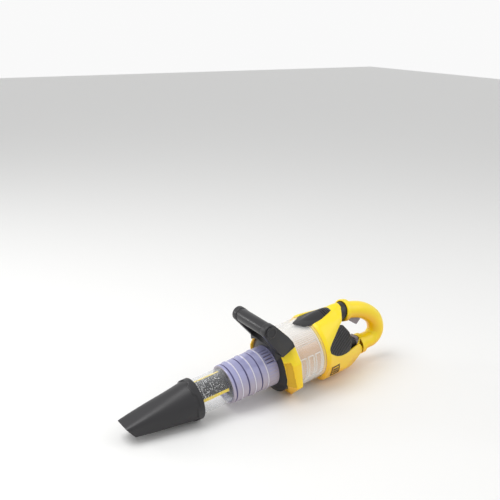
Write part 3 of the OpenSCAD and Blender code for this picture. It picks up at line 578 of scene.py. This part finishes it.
def radius_lookup(points, s0, s1, soft):
    """Tabulates the wrap's radius over station and angle, and returns a function that reads the table."""
    normals, distances = hull_planes(points)
    stations, angles = np.arange(s0, s1, 0.5), np.radians(np.arange(-200, 200.5, 1.0))
    table = np.full((len(stations), len(angles)), 200.0)
    for n, d in zip(normals, distances):
        facing = n[1] * np.cos(angles) + n[2] * np.sin(angles)
        reach = (d - n[0] * stations[:, None]) / np.maximum(facing, 1e-4)[None, :]
        table = np.minimum(table, np.where(facing[None, :] > 1e-3, np.maximum(reach, 1.0), 200.0))
    table = blur_rows(table, np.radians(1.0) * 50, soft)
    table = blur_rows(table.T, 0.5, soft).T

    def radius(s, a):
        """The table read at station s and angle a, linear between its four nearest entries."""
        x = np.clip((s - s0) / 0.5, 0, len(stations) - 1.001)
        y = np.clip((a - angles[0]) / np.radians(1.0), 0, len(angles) - 1.001)
        i, j = x.astype(int), y.astype(int)
        u, w = x - i, y - j
        return ((1 - u) * ((1 - w) * table[i, j] + w * table[i, j + 1])
                + u * ((1 - w) * table[i + 1, j] + w * table[i + 1, j + 1]))

    return radius


BODY_FRONT, RING_REAR, TOP_END, LOW_END = 83.0, 90.5, 157.0, 197.9
BODY_R, SHELL_WALL, ROOT_V, LOW_V, RIDGE_V, BELLY_V = 57.0, 2.2, 39.5, -41.1, 57.8, -62.4
BODY_CLOUD = np.concatenate([
    ring(BODY_FRONT, BODY_R),
    ring(RING_REAR, BODY_R),
    block(97, 155, 27, BELLY_V, BELLY_V + 1),
    block(TOP_END - 1, TOP_END, 17.5, ROOT_V - 8, ROOT_V + 7),
    block(TOP_END - 1, TOP_END, 3, RIDGE_V - 1, RIDGE_V),
    block(LOW_END - 1, LOW_END, 15, LOW_V - 8, LOW_V + 10),
    block(LOW_END - 8, LOW_END - 7, 14, LOW_V - 13, LOW_V - 6),
    block(LOW_END - 36, LOW_END - 34, 19, BELLY_V + 1, BELLY_V + 2)])
body_radius = radius_lookup(BODY_CLOUD, 78.0, 204.0, 1.3)
print("half-width at the nose:", round(float(body_radius(np.array(98.0), np.array(0.05))), 1), "mm")

# %% [markdown]
# The shell is then one grid: a row for each angle, running from the front edge (or from the notch
# that clears the switch) to the edge of the body's open mouth. The mouth's edge is drawn in the side
# view as a line with rounded corners and turned into angles, so the grid follows it exactly.

# %% The body's edges


def rounded_line(corners, radius, steps=10):
    """Each corner P with unit edges e, f becomes an arc that starts and ends r/tan(h) from P."""
    p = np.array(corners, float)
    radius = np.broadcast_to(np.asarray(radius, float), len(p))
    before, after = np.roll(p, 1, axis=0), np.roll(p, -1, axis=0)
    e, f = before - p, after - p
    le, lf = np.hypot(*e.T), np.hypot(*f.T)
    e, f = e / le[:, None], f / lf[:, None]
    half = 0.5 * np.arccos(np.clip((e * f).sum(1), -0.9999, 0.9999))
    back = np.minimum(radius / np.tan(half), 0.48 * np.minimum(le, lf))
    r = back * np.tan(half)
    middle = (e + f) / np.maximum(np.hypot(*(e + f).T), 1e-9)[:, None]
    centre = p + middle * (r / np.sin(half))[:, None]
    sweep = np.pi - 2 * half
    u = np.linspace(0, 1, steps)[None, :, None]
    v0, v1 = (p + e * back[:, None] - centre)[:, None], (p + f * back[:, None] - centre)[:, None]
    w = sweep[:, None, None]
    arcs = centre[:, None] + (np.sin((1 - u) * w) * v0 + np.sin(u * w) * v1) / np.sin(w)
    return np.concatenate([p[:1], arcs[1:-1].reshape(-1, 2), p[-1:]])


def even(points, count):
    """Points at equal steps along a line."""
    p = np.asarray(points)
    run = np.concatenate([[0], np.cumsum(np.hypot(*np.diff(p, axis=0).T))])
    at = np.linspace(0, run[-1], count)
    return np.stack([np.interp(at, run, p[:, 0]), np.interp(at, run, p[:, 1])], axis=-1)


MOUTH_EDGE = [(157, 59), (156.6, 55.0), (151.5, 49.8), (145.6, 44.6), (142.6, 37.8), (131, 34.2),
              (119.4, 29.8), (99.6, 21.8), (90.0, 17.0), (90.9, 8.0), (97.2, 2.4), (108.8, -7.1),
              (123.4, -14.8), (138.4, -19.8), (155, -22.6), (177.4, -25.8), (197.9, -31.2), (197.9, -49.1)]
MOUTH_ROUND = [0, 8, 20, 12, 4, 60, 60, 40, 5, 7, 20, 30, 60, 60, 60, 60, 1.5, 0]
SWITCH_END, SWITCH_LEN, SWITCH_HALF, NOTCH_GAP = 134.0, 76.0, 20.0, 0.5
TEAR_S = np.array([0, 1.5, 5, 12, 20, 30, 48, 66, 76]) + SWITCH_END - SWITCH_LEN
TEAR_H = np.array([0, 0.27, 0.55, 0.88, 1.0, 1.0, 0.86, 0.58, 0.4]) * SWITCH_HALF


def angle_at(s, v):
    """The angle a where R(s, a) sin(a) = v, found by repeating a = arcsin(v / R(s, a))."""
    a = np.arctan2(v, 50.0)
    for _ in range(60):
        a = 0.5 * a + 0.5 * np.arcsin(np.clip(v / body_radius(s, a), -1, 1))
    return a


def shell_rows(count=240):
    """Angles from the ridge to the belly with the mouth's station for each."""
    edge = even(rounded_line(MOUTH_EDGE, MOUTH_ROUND), count)
    a = angle_at(edge[:, 0], edge[:, 1])
    belly = np.linspace(a[-1], -np.pi / 2, 30)[1:]
    ridge = np.linspace(np.pi / 2, a[0], 6)[:-1]
    angles = np.concatenate([ridge, a, belly])
    stations = np.concatenate([np.full(len(ridge), TOP_END), edge[:, 0], np.full(len(belly), LOW_END)])
    order = np.argsort(-angles, kind="stable")
    angles, stations = angles[order], stations[order]
    keep = np.concatenate([[True], np.diff(angles) < -1e-4])
    return angles[keep], stations[keep]


def far_share(s):
    """Width of the switch's far half over its near half: 0.45 up to s = 66, and 1 from s = 90 on."""
    return 0.45 + 0.55 * smoothstep((s - 66) / 24)


def notch_station(a, far):
    """Front end of each row: the plain edge, or the notch's rim where the row would run under the switch."""
    s = np.linspace(BODY_FRONT, SWITCH_END + NOTCH_GAP, 200)
    half = np.interp(s, TEAR_S, TEAR_H) + NOTCH_GAP
    half = half * (far_share(s) if far else 1.0)
    half[-1] = 0
    rim_angle = np.arccos(np.clip(half / body_radius(s, np.full_like(s, 1.4)), 0, 1))
    rim_angle = np.maximum.accumulate(rim_angle) + 1e-6 * np.arange(len(rim_angle))
    return np.where(a > rim_angle[0], np.interp(a, rim_angle, s), BODY_FRONT)


RIM_WIDTH, RIM_SINK, CROWN_DIP, CHIN_SETBACK = 6.0, 2.4, 1.8, 2.5


def body_half(name, side, cols=110):
    """One half: side -1 is the right half. The front edge slopes inwards over the rim's width."""
    angles, ends = shell_rows()
    fronts = notch_station(angles, side > 0) + CHIN_SETBACK * smoothstep((-np.degrees(angles) - 46) / 14)
    t = np.linspace(0, 1, cols)[None, :] ** 1.15
    s = fronts[:, None] + t * (ends - fronts)[:, None]
    a = angles[:, None] + 0 * t
    a = np.clip(a, -np.pi / 2 + 0.0015, np.pi / 2 - 0.0015)
    r = body_radius(s, a)
    inward = np.clip((fronts[:, None] + RIM_WIDTH - s) / RIM_WIDTH, 0, 1)
    inward = inward * (fronts[:, None] < TEAR_S[1] + 32)
    dip = smoothstep((s - 88) / 8) * smoothstep((150 - s) / 12) * smoothstep((np.degrees(a) - 58) / 14)
    r = r - RIM_SINK * inward - CROWN_DIP * dip
    table = np.stack([s, side * r * np.cos(a), r * np.sin(a)], axis=-1)
    piece = grid_object(name, table, wrap_cols=False, flip=side < 0)
    thicken(piece, SHELL_WALL).use_even_offset = False
    soften(piece, 0.7, 3, 50)
    return piece


for label, side in (("right", -1), ("left", 1)):
    dress(body_half(f"body_half_{label}", side), f"body_{label}", "tool", "yellow", yellow_abs)

# %% [markdown]
# Behind the clear cover sits a cream drum with ribs: three tall arches on each side, and fine
# ribs along its top. The ribs are drawn in a lighter ivory as a painted highlight, and the drum's tan
# on faces that look sideways or down is painted shade. Drum and ribs are two grids. The ribs' grid
# starts inside the drum and rises through it where a rib runs, and there the drum's own surface sinks
# a little, so they never meet flush.
# A yellow ring behind the drum closes the gap to the body's front edge.

# %% Drum behind the clear cover
DRUM_FROM, DRUM_TO, DRUM_R = 31.0, 82.0, 48.5


def band_mask(x, middle, half, soft=0.35):
    """One within half of the middle and zero outside, with a soft flank."""
    return smoothstep((half - np.abs(x - middle)) / soft + 0.5)


def rib_mask(s, lift):
    """Arches: two legs and a lintel; lift is the angle above the horizontal on either side, in degrees."""
    mask = np.zeros(np.broadcast(s, lift).shape)
    for middle in (40.5, 55.5, 70.5):
        legs = band_mask(np.abs(s - middle), 5.2, 0.6) * smoothstep((17.5 - lift) / 1.5)
        lintel = band_mask(lift, 17.0, 0.9, 0.6) * smoothstep((5.8 - np.abs(s - middle)) / 0.4)
        mask = np.maximum(mask, np.maximum(legs, lintel))
    fine = band_mask(np.mod(lift, 4.0), 2.0, 0.35, 0.4)
    fine = fine * smoothstep((lift - 38) / 2) * smoothstep((s - 38) / 2)
    hoops = band_mask(s, 33.5, 0.9) + band_mask(s, 79.0, 0.9)
    return np.clip(np.maximum(mask, 0.7 * fine) + hoops, 0, 1)


def drum(name, base, rise, material, rows=150, cols=420):
    """A round wall of radius base + rise * mask, closed by an inner wall 3 mm further in."""
    s = np.linspace(DRUM_FROM, DRUM_TO, rows)[:, None]
    angle = full_turn(cols)[None, :]
    lift = np.degrees(np.arcsin(np.sin(angle)))
    r = base + rise * rib_mask(s, lift)
    inner = np.full((2, cols), base - 3.0)
    s_all = np.concatenate([s + 0 * angle, np.full((1, cols), DRUM_TO), np.full((1, cols), DRUM_FROM)])
    r_all = np.concatenate([r, inner])
    table = np.stack([s_all, r_all * np.cos(angle), r_all * np.sin(angle)], axis=-1)
    piece = grid_object(name, table, wrap_rows=True, flip=True)
    dress(piece, "works_casing", "tool", "cream", material)


seat = lathe("works_seat", [80.5, 80.5, 84.0, 84.0], [46.0, 53.0, 53.0, 46.0], flip=False)
dress(seat, "works_casing", "tool", "yellow", yellow_abs)
drum("works_drum", DRUM_R, -1.2, cream_abs)
# The ribs take the lighter material: a painted highlight on their edges.
drum("works_ribs", DRUM_R - 1.5, 3.6, rib_highlight_abs)

# %% [markdown]
# Pieces that sit in or on the body reuse its radius. A pad is an egg in the side view, cut off where
# it would run under the shell. Its ribs are a cosine, one for every 4.2 mm, and lean a little. The
# label is a frame with plain bars in it, each a thin strip laid on the shell.

# %% Side pads and label
PAD_CENTRE = np.array([120.0, 6.0])
PAD_CIRCLES = ((107.5, 11.0, 20), (133, 19.3, 15), (138.5, -2, 24))
PAD_LIFT, PAD_RIB, PAD_PITCH, PAD_LEAN = 0.7, 0.75, 4.2, 0.3


def on_body(s, v, lift, side=-1):
    """The point of the shell at station s and height v, raised by lift."""
    a = angle_at(s, v)
    r = body_radius(s, a) + lift
    return np.stack([s, side * r * np.cos(a), r * np.sin(a)], axis=-1)


def reach(line, bearing):
    """Distance from the pad's centre to a line that goes once round it, for each bearing."""
    d = line - PAD_CENTRE
    turn = np.unwrap(np.arctan2(d[:, 1], d[:, 0]))
    order = np.argsort(turn)
    return np.interp(bearing, turn[order], np.hypot(*d.T)[order], left=400, right=400)


def side_pad(label, side):
    """A ribbed egg round three circles, given as station, height and radius."""
    t = full_turn(240)
    circles = np.concatenate([np.stack([c + r * np.cos(t), z + r * np.sin(t)], axis=-1)
                              for c, z, r in PAD_CIRCLES])
    bearing = np.linspace(-np.pi, np.pi, 240, endpoint=False)
    steps = circles - PAD_CENTRE
    toward = steps @ np.stack([np.cos(bearing), np.sin(bearing)])
    support = toward.max(axis=0)
    egg = (support[None, :] / np.maximum(np.cos(bearing[:, None] - bearing[None, :]), 1e-3))
    egg = np.where(np.cos(bearing[:, None] - bearing[None, :]) > 0.05, egg, 400).min(axis=1)
    window = even(rounded_line(MOUTH_EDGE, MOUTH_ROUND), 400)
    edge = np.minimum(egg, np.minimum(reach(window, bearing), reach(window, bearing + 2 * np.pi)) - 0.3)
    u = np.linspace(0.004, 1, 160)[:, None]
    sv = PAD_CENTRE + (u * edge)[..., None] * np.stack([np.cos(bearing), np.sin(bearing)], axis=-1)
    s, v = sv[..., 0], sv[..., 1]
    ribs = PAD_RIB * np.cos(2 * np.pi * (s + PAD_LEAN * v) / PAD_PITCH) * smoothstep((1 - u) / 0.08)
    table = on_body(s, v, PAD_LIFT + ribs - 0.9 * smoothstep((u - 0.93) / 0.07), side)
    pad = grid_object(f"ribbed_pad_{label}", table, wrap_cols=True, flip=side < 0)
    thicken(pad, 1.8)
    dress(pad, f"pad_{label}", "tool", "black_textured", pad_rubber)


for label, side in (("right", -1), ("left", 1)):
    side_pad(label, side)


LABEL = np.array([[(95, -22.5), (117.6, -27.3)], [(101.5, -48.5), (119.9, -47.5)]])
LABEL_SKINS = (1.0, -0.3)


def label_strip(s0, s1, v0, v1):
    """Outer and inner skin of a strip; both spans are shares of the label, blended from its corners."""
    x, y = np.meshgrid(np.linspace(s0, s1, 12), np.linspace(v0, v1, 8), indexing="ij")
    x, y = x[..., None], y[..., None]
    upper = LABEL[0, 0] + x * (LABEL[0, 1] - LABEL[0, 0])
    lower = LABEL[1, 0] + x * (LABEL[1, 1] - LABEL[1, 0])
    sv = (1 - y) * upper + y * lower
    return np.stack([on_body(sv[..., 0], sv[..., 1], lift) for lift in LABEL_SKINS])


strips = [label_strip(*box) for box in (
    (0, 1, 0, 0.1), (0, 1, 0.9, 1), (0, 0.09, 0.1, 0.9), (0.91, 1, 0.1, 0.9), (0.2, 0.8, 0.3, 0.42),
    (0.2, 0.8, 0.58, 0.7))]
strip_points, strip_faces = [], []
for skins in strips:
    rows, cols = skins.shape[1:3]
    base = sum(len(p) for p in strip_points)
    quads = grid_faces(rows, cols, False, False, False)
    first_col, last_row = np.arange(rows) * cols, (rows - 1) * cols + np.arange(cols)
    edge = np.concatenate([np.arange(cols), (first_col + cols - 1)[1:], last_row[::-1][1:],
                           first_col[::-1][1:-1]])
    after = np.roll(edge, -1)
    walls = np.stack([edge, after, after + rows * cols, edge + rows * cols], axis=-1)
    strip_points.append(skins.reshape(-1, 3))
    strip_faces += [quads + base, quads[:, ::-1] + rows * cols + base, walls[:, ::-1] + base]
label_frame = mesh_object("label_frame", np.concatenate(strip_points), np.concatenate(strip_faces),
                          smooth=False)
dress(label_frame, "label_plate", "tool", "brown", brown_print)

# %% [markdown]
# Three more pieces are lofts: closed loops placed one behind the other, with a flat face at each end.
# The switch's loops are a teardrop's width under a round crown, with five finger ribs cut across its
# rear. The arms are two-loop lofts with bevelled edges. The far arm, the bar's far end and the
# switch's far tip are drawn shorter or narrower than on the near side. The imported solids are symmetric.

# %% Switch, arms and saddle


def loft(name, loops, bevel):
    """Skin over closed loops of equal length, capped at both ends."""
    count, size = loops.shape[:2]
    quads = grid_faces(count, size, False, True, False).tolist()
    last = (count - 1) * size
    faces = quads + [list(range(size))[::-1], list(range(last, last + size))]
    data = bpy.data.meshes.new(name)
    data.from_pydata(place(loops.reshape(-1, 3)), [], faces)
    work = bmesh.new()
    work.from_mesh(data)
    bmesh.ops.recalc_face_normals(work, faces=work.faces)
    work.to_mesh(data)
    work.free()
    piece = in_scene(name, data)
    data.polygons.foreach_set("use_smooth", np.ones(len(data.polygons), bool))
    soften(piece, bevel, 3, 28)
    return piece


RIB_DEPTH, RIB_PITCH, LAST_RIB = 1.6, 4.2, 131.5
CROWN_S = [58, 68, 79, 93, 107, 121, 129, 134]
CROWN_V = [54.7, 54.8, 55.3, 57.2, 58.9, 59.6, 58.4, 55.4]


def switch_loops(count=260, across=30):
    """Cross-sections from the tip to the rear: a crown above, and a floor that clears the cover and body."""
    s = np.linspace(SWITCH_END - SWITCH_LEN + 0.2, SWITCH_END, count)
    half = np.interp(s, TEAR_S, TEAR_H)
    half = blur_rows(half, s[1] - s[0], 1.5) - 0.3
    crown = blur_rows(np.interp(s, CROWN_S, CROWN_V), s[1] - s[0], 3)
    u = np.linspace(-1, 1, across)
    w = half[:, None] * np.sin(0.5 * np.pi * u)[None, :]
    w = np.where(w > 0, far_share(s)[:, None] * w, w)
    fall = np.where(w > 0, 1.0, 0.85) * w ** 2 / 34
    top = crown[:, None] - fall - 0.0006 * np.maximum(w, 0) ** 4
    grooves = np.cos(2 * np.pi * (s - LAST_RIB) / RIB_PITCH)
    zone = smoothstep((s - 112) / 1.5) * smoothstep((132 - s) / 1.5)
    cut = RIB_DEPTH * zone * smoothstep((grooves - 0.1) / 0.6)
    housing = np.sqrt(54.6 ** 2 - w ** 2)
    deep = housing - 5 * smoothstep((s - 94) / 2)[:, None]
    top = np.maximum(top - cut[:, None], housing + 0.25)
    upper = np.stack([s[:, None] + 0 * w, w, top], axis=-1)
    lower = np.stack([s[:, None] + 0 * w, w, deep], axis=-1)[:, ::-1]
    return np.concatenate([upper, lower], axis=1)


teardrop_switch = loft("teardrop_switch", switch_loops(), 0.35)
dress(teardrop_switch, "top_switch", "top_switch", "black", soft_black)

BAR_S, BAR_V, ARM_R, FAR_ARM = -22.0, 91.0, 12.0, 27.0


def arm_loops(side):
    """Both faces of an arm: a circle at the bar, joined by straight sides to the cut at the cowl."""
    t = full_turn(64)
    front_foot = (-3, 37.95) if side < 0 else (-1, 40)
    feet = np.array([front_foot, (22, 48.3), (19, 58), (11, 70), (0, 82)])
    cloud = np.concatenate([np.stack([BAR_S + ARM_R * np.cos(t), BAR_V + ARM_R * np.sin(t)], axis=-1), feet])
    a = full_turn(720)
    support = (cloud @ np.stack([np.cos(a), np.sin(a)])).argmax(axis=0)
    outline = cloud[support[np.concatenate([[True], np.diff(support) != 0])]]
    s, v = outline[:, 0], outline[:, 1]
    faces = (-40, -52) if side < 0 else (FAR_ARM, FAR_ARM + 11)
    return np.stack([np.stack([s, np.full(len(s), y), v], axis=-1) for y in faces])


def turned_across(name, profile, material, node, around=96):
    """Surface of turning about the bar's own axis, from (y, r) pairs, with a flat cap at both ends."""
    y, r = np.array(profile, float).T
    t = full_turn(around)
    across = y[:, None] + 0 * t
    loops = np.stack([BAR_S + r[:, None] * np.cos(t), across, BAR_V + r[:, None] * np.sin(t)], axis=-1)
    piece = loft(name, loops, 0.4)
    dress(piece, node, "tool", "black", material)


turned_across("grip_bar_skin", [(-52.3, 10.6), (-51.9, 11), (35.5, 11.2), (38.5, 10.6), (40.2, 9), (40.8, 7)],
              soft_black, "grip_bar")
turned_across("grip_disc", [(-52, 9.4), (-54.0, 9.4), (-54.8, 8.6), (-54.9, 6.9), (-54.0, 6.3), (-54.2, 2.5)],
              black_abs, "grip_caps")

SADDLE_R, SADDLE_TOP, SADDLE_NEAR, SADDLE_FAR = 49.2, 50.4, -39.9, FAR_ARM + 0.5
saddle_t = np.linspace(np.arcsin(SADDLE_FAR / SADDLE_R), np.arcsin(SADDLE_NEAR / SADDLE_R), 24)
saddle_w = np.concatenate([[SADDLE_NEAR, SADDLE_FAR], SADDLE_R * np.sin(saddle_t)])
saddle_v = np.concatenate([[SADDLE_TOP, SADDLE_TOP], SADDLE_R * np.cos(saddle_t)])
saddle_loops = np.stack([np.stack([np.full(len(saddle_w), x), saddle_w, saddle_v], axis=-1)
                         for x in (-9.5, 13.5)])
for label, loops in (("arm_right", arm_loops(-1)), ("arm_left", arm_loops(1)), ("saddle", saddle_loops)):
    piece = loft(f"front_{label}", loops, 1.2)
    dress(piece, "front_handle", "tool", "black", black_abs)

# %% [markdown]
# The rear handle is a half tube swept along a line made of a straight, three bends and a straight. The
# slopes below are in degrees, at the start and at the end of each run. A
# bend of radius R turns by length / R, so adding up the turns gives the direction at every step, and
# adding up the directions gives the line. Each half leaves room for the trigger on the underside.

# %% Rear handle
HANDLE_START, HANDLE_R, FLANGE_R, FLANGE_LEN = (163.15, 40.6), 15.0, 19.5, 9.0
SLOT_FROM, SLOT_TO, SLOT_HALF = 172, 214, 5.9
SLOPES = [16, 16, 48, 90, 180, 180]
RUNS = [28.0, 92 * np.radians(32), 42 * np.radians(42), 19 * np.radians(90), 27.0]
handle_length = sum(RUNS)
along = np.concatenate([[0], np.linspace(0, handle_length, 260)])
slope = np.radians(np.interp(along, np.concatenate([[0], np.cumsum(RUNS)]), SLOPES))
step = np.diff(along, prepend=0)[:, None] * np.stack([np.cos(slope), -np.sin(slope)], axis=-1)
centre_line = np.cumsum(step, axis=0) + HANDLE_START
print("the handle ends at", np.round(centre_line[-1], 1), "mm")


def handle_half(label, side, around=40):
    """Half tube: point = line + r (n cos(t), side sin(t)), n square to the line, t from top to underside."""
    flange = smoothstep((FLANGE_LEN - along) / 0.5 + 0.5)
    low = smoothstep((along - handle_length + FLANGE_LEN) / 0.5 + 0.5)
    r = HANDLE_R + (FLANGE_R - HANDLE_R) * flange + (FLANGE_R - 1 - HANDLE_R) * low
    from_end = np.stack([along, handle_length - along])
    r = r - 0.6 * (np.clip(1 - from_end / 0.6, 0, 1) ** 2).sum(axis=0)
    r[0] = FLANGE_R - 3
    s = centre_line[:, 0]
    slot = smoothstep((s - SLOT_FROM) / 1.5) * smoothstep((SLOT_TO - s) / 1.5) * (along < 70)
    last = np.pi - np.arcsin(SLOT_HALF / HANDLE_R) * slot
    t = np.linspace(0, 1, around)[None, :] * last[:, None]
    n = np.stack([np.sin(slope), np.cos(slope)], axis=-1)
    sv = centre_line[:, None, :] + (r[:, None] * np.cos(t))[..., None] * n[:, None, :]
    table = np.stack([sv[..., 0], side * (r[:, None] * np.sin(t) + 0.04), sv[..., 1]], axis=-1)
    piece = grid_object(f"handle_half_{label}", table, wrap_cols=False, flip=side > 0)
    thicken(piece, 2.0)
    soften(piece, 0.4, 2, 50)
    dress(piece, f"handle_{label}", "tool", "yellow", yellow_abs)


for label, side in (("right", -1), ("left", 1)):
    handle_half(label, side)

# %% [markdown]
# The cowl is another wrap, from a low front outline to a wide rear one. Its bore is round, and where
# the slanted underside would cut into the bore the cowl simply starts further back. A panel on each
# side is sunk by 2 mm.

# %% Cowl
COWL_FRONT, COWL_REAR, COWL_BORE, COVER_SEAT = 2.0, 28.0, 49.4, 54.25
PANEL_TOP, PANEL_LOW, PANEL_SINK = 24, -24, 2.0
FRONT_OUTLINE = ((45.45, -17.2), (50.5, 0), (50.5, 16.7), (36.4, 38.4), (15.2, 44.4))
REAR_OUTLINE = ((59, -26.5), (59, 18.4), (42.5, 44.9), (17.7, 51.75))


def both_sides(outline, stations):
    """An outline of (half-width, height) corners, mirrored and repeated at each station."""
    return np.array([(s, w * k, v) for s in stations for w in (-1, 1) for k, v in outline])


cowl_radius = radius_lookup(np.concatenate([
    both_sides(FRONT_OUTLINE, (COWL_FRONT, COWL_FRONT + 0.5)), both_sides(REAR_OUTLINE, (17.0, COWL_REAR)),
    block(25.5, COWL_REAR, 25.3, -57.5, -57.4)]), -4.0, 34.0, 0.9)


def cowl_table(around=360, along=60):
    """Rows run from the front edge over the outside to the rear, then back through the two bores."""
    a = np.linspace(-np.pi, np.pi, around, endpoint=False)
    probe = np.linspace(COWL_FRONT, 24, 120)
    thin = cowl_radius(probe[None, :] + 0 * a[:, None], a[:, None] + 0 * probe[None, :]) < 50.6
    last_thin = thin.shape[1] - 1 - thin[:, ::-1].argmax(axis=1)
    start = np.where(thin.any(axis=1), probe[np.minimum(last_thin + 1, len(probe) - 1)], COWL_FRONT)
    start = blur_rows(np.tile(start, 3), np.degrees(2 * np.pi / around), 2.0)[around:2 * around]
    t = np.linspace(0, 1, along)
    s = start[:, None] + t * (COWL_REAR - start)[:, None]
    r = cowl_radius(s, a[:, None] + 0 * s)
    v = r * np.sin(a)[:, None]
    side = smoothstep((v - PANEL_LOW) / 6) * smoothstep((PANEL_TOP - v) / 3)
    across = smoothstep((14.0 - 0.1 * v - s) / 2.5) * smoothstep((s - start[:, None] - 0.6) / 1.2)
    r = np.maximum(r - PANEL_SINK * side * across, COWL_BORE + 0.3)
    roll = 1.5 * np.clip(1 - (COWL_REAR - s) / 1.5, 0, 1) ** 2
    outer = np.stack([s, r - roll], axis=-1)
    steps = np.tile([COWL_REAR, 23.6, 23.5], (around, 1))
    bore_s = np.concatenate([steps, start[:, None]], axis=1)
    bore_r = np.tile([COVER_SEAT, COVER_SEAT, COWL_BORE, COWL_BORE], (around, 1))
    profile = np.concatenate([outer, np.stack([bore_s, bore_r], axis=-1)], axis=1)
    s, r = profile[..., 0], profile[..., 1]
    return np.stack([s, r * np.cos(a)[:, None], r * np.sin(a)[:, None]], axis=-1)


def panel_faces(points):
    """Material index 1 for the faces of the sunk side panels: stations in front of the rear strip."""
    s, v = points[..., 0], points[..., 2]
    outside = np.arange(points.shape[1])[None, :] < points.shape[1] - 6
    sunk = (s < 13.2 - 0.1 * v) & (v > PANEL_LOW + 1) & (v < PANEL_TOP - 1) & outside
    return sunk.astype(np.int32).ravel()


cowl_points = cowl_table()
cowl_shell = grid_object("cowl_shell", cowl_points, wrap_rows=True, wrap_cols=True)
# The sunk side panels take the darker yellow: painted shade in the recess.
cowl_shell.data.polygons.foreach_set("material_index", panel_faces(cowl_points))
dress(cowl_shell, "cowl", "tool", "yellow", yellow_abs, panel_shade_yellow)

# %% [markdown]
# The floor is a plain pale sheet. The light is a large soft box high on the left, a weaker one on
# the right, and an even white surround, so a colour renders about as it is written. A small low box
# behind on the left draws the streak of light on the black bar.

# %% Floor, light and camera
FLOOR_SIZE = 12.0
bpy.ops.mesh.primitive_plane_add(size=FLOOR_SIZE, location=(0, 0, 0))
floor = bpy.context.object
floor.name = "studio_floor"
floor_paper = bpy.data.materials.new("white_studio_paper")
floor_paper.use_nodes = True
floor_shader = floor_paper.node_tree.nodes["Principled BSDF"]
floor_shader.inputs["Base Color"].default_value = paint("#F3F3F2")
floor_shader.inputs["Roughness"].default_value = 0.6
floor.data.materials.append(floor_paper)

world = bpy.data.worlds.new("white_surround")
bpy.context.scene.world = world
world.use_nodes = True
sky = world.node_tree
sky.nodes.clear()
path = add(sky, "ShaderNodeLightPath")
seen = add(sky, "ShaderNodeMath", {0: path.outputs["Is Camera Ray"], 1: path.outputs["Is Glossy Ray"]},
           operation="MAXIMUM")
FILL_STRENGTH, SEEN_STRENGTH = 0.62, 0.95
strength = add(sky, "ShaderNodeMapRange", {"Value": seen.outputs[0]}, To_Min=FILL_STRENGTH,
               To_Max=SEEN_STRENGTH)
surround = add(sky, "ShaderNodeBackground", {"Strength": strength.outputs[0]}, Color=(1, 1, 1, 1))
add(sky, "ShaderNodeOutputWorld", {"Surface": surround.outputs[0]})


def soft_box(name, location, target, size, watts):
    """An area lamp that faces a point."""
    lamp = bpy.data.lights.new(name, "AREA")
    lamp.shape, lamp.size, lamp.energy = "SQUARE", size, watts
    lamp_object = in_scene(name, lamp)
    lamp_object.location = location
    lamp_object.rotation_euler = (Vector(target) - Vector(location)).to_track_quat("-Z", "Y").to_euler()


soft_box("key_box", (-0.7, 0.2, 1.5), (0, 0, 0.05), 1.0, 14)
soft_box("fill_box", (1.2, -0.9, 1.1), (0, 0, 0.05), 1.2, 5)
soft_box("streak_box", (-1.3, 1.5, 0.6), (-0.05, 0, 0.1), 0.4, 5)

camera_data = bpy.data.cameras.new("view")
camera_data.lens, camera_data.sensor_width = 50.36, 36.0
camera = in_scene("view", camera_data)
camera.location = (-0.6183, -0.8304, 0.5990)
turn, look_up, roll = np.radians(-34.92), np.radians(90 - 18.53), np.radians(1.16)
camera.rotation_euler = (Matrix.Rotation(turn, 3, "Z") @ Matrix.Rotation(look_up, 3, "X")
                         @ Matrix.Rotation(roll, 3, "Z")).to_euler()
bpy.context.scene.camera = camera
bpy.context.scene.view_settings.view_transform = "Standard"
print("camera at", [round(c, 3) for c in camera.location])
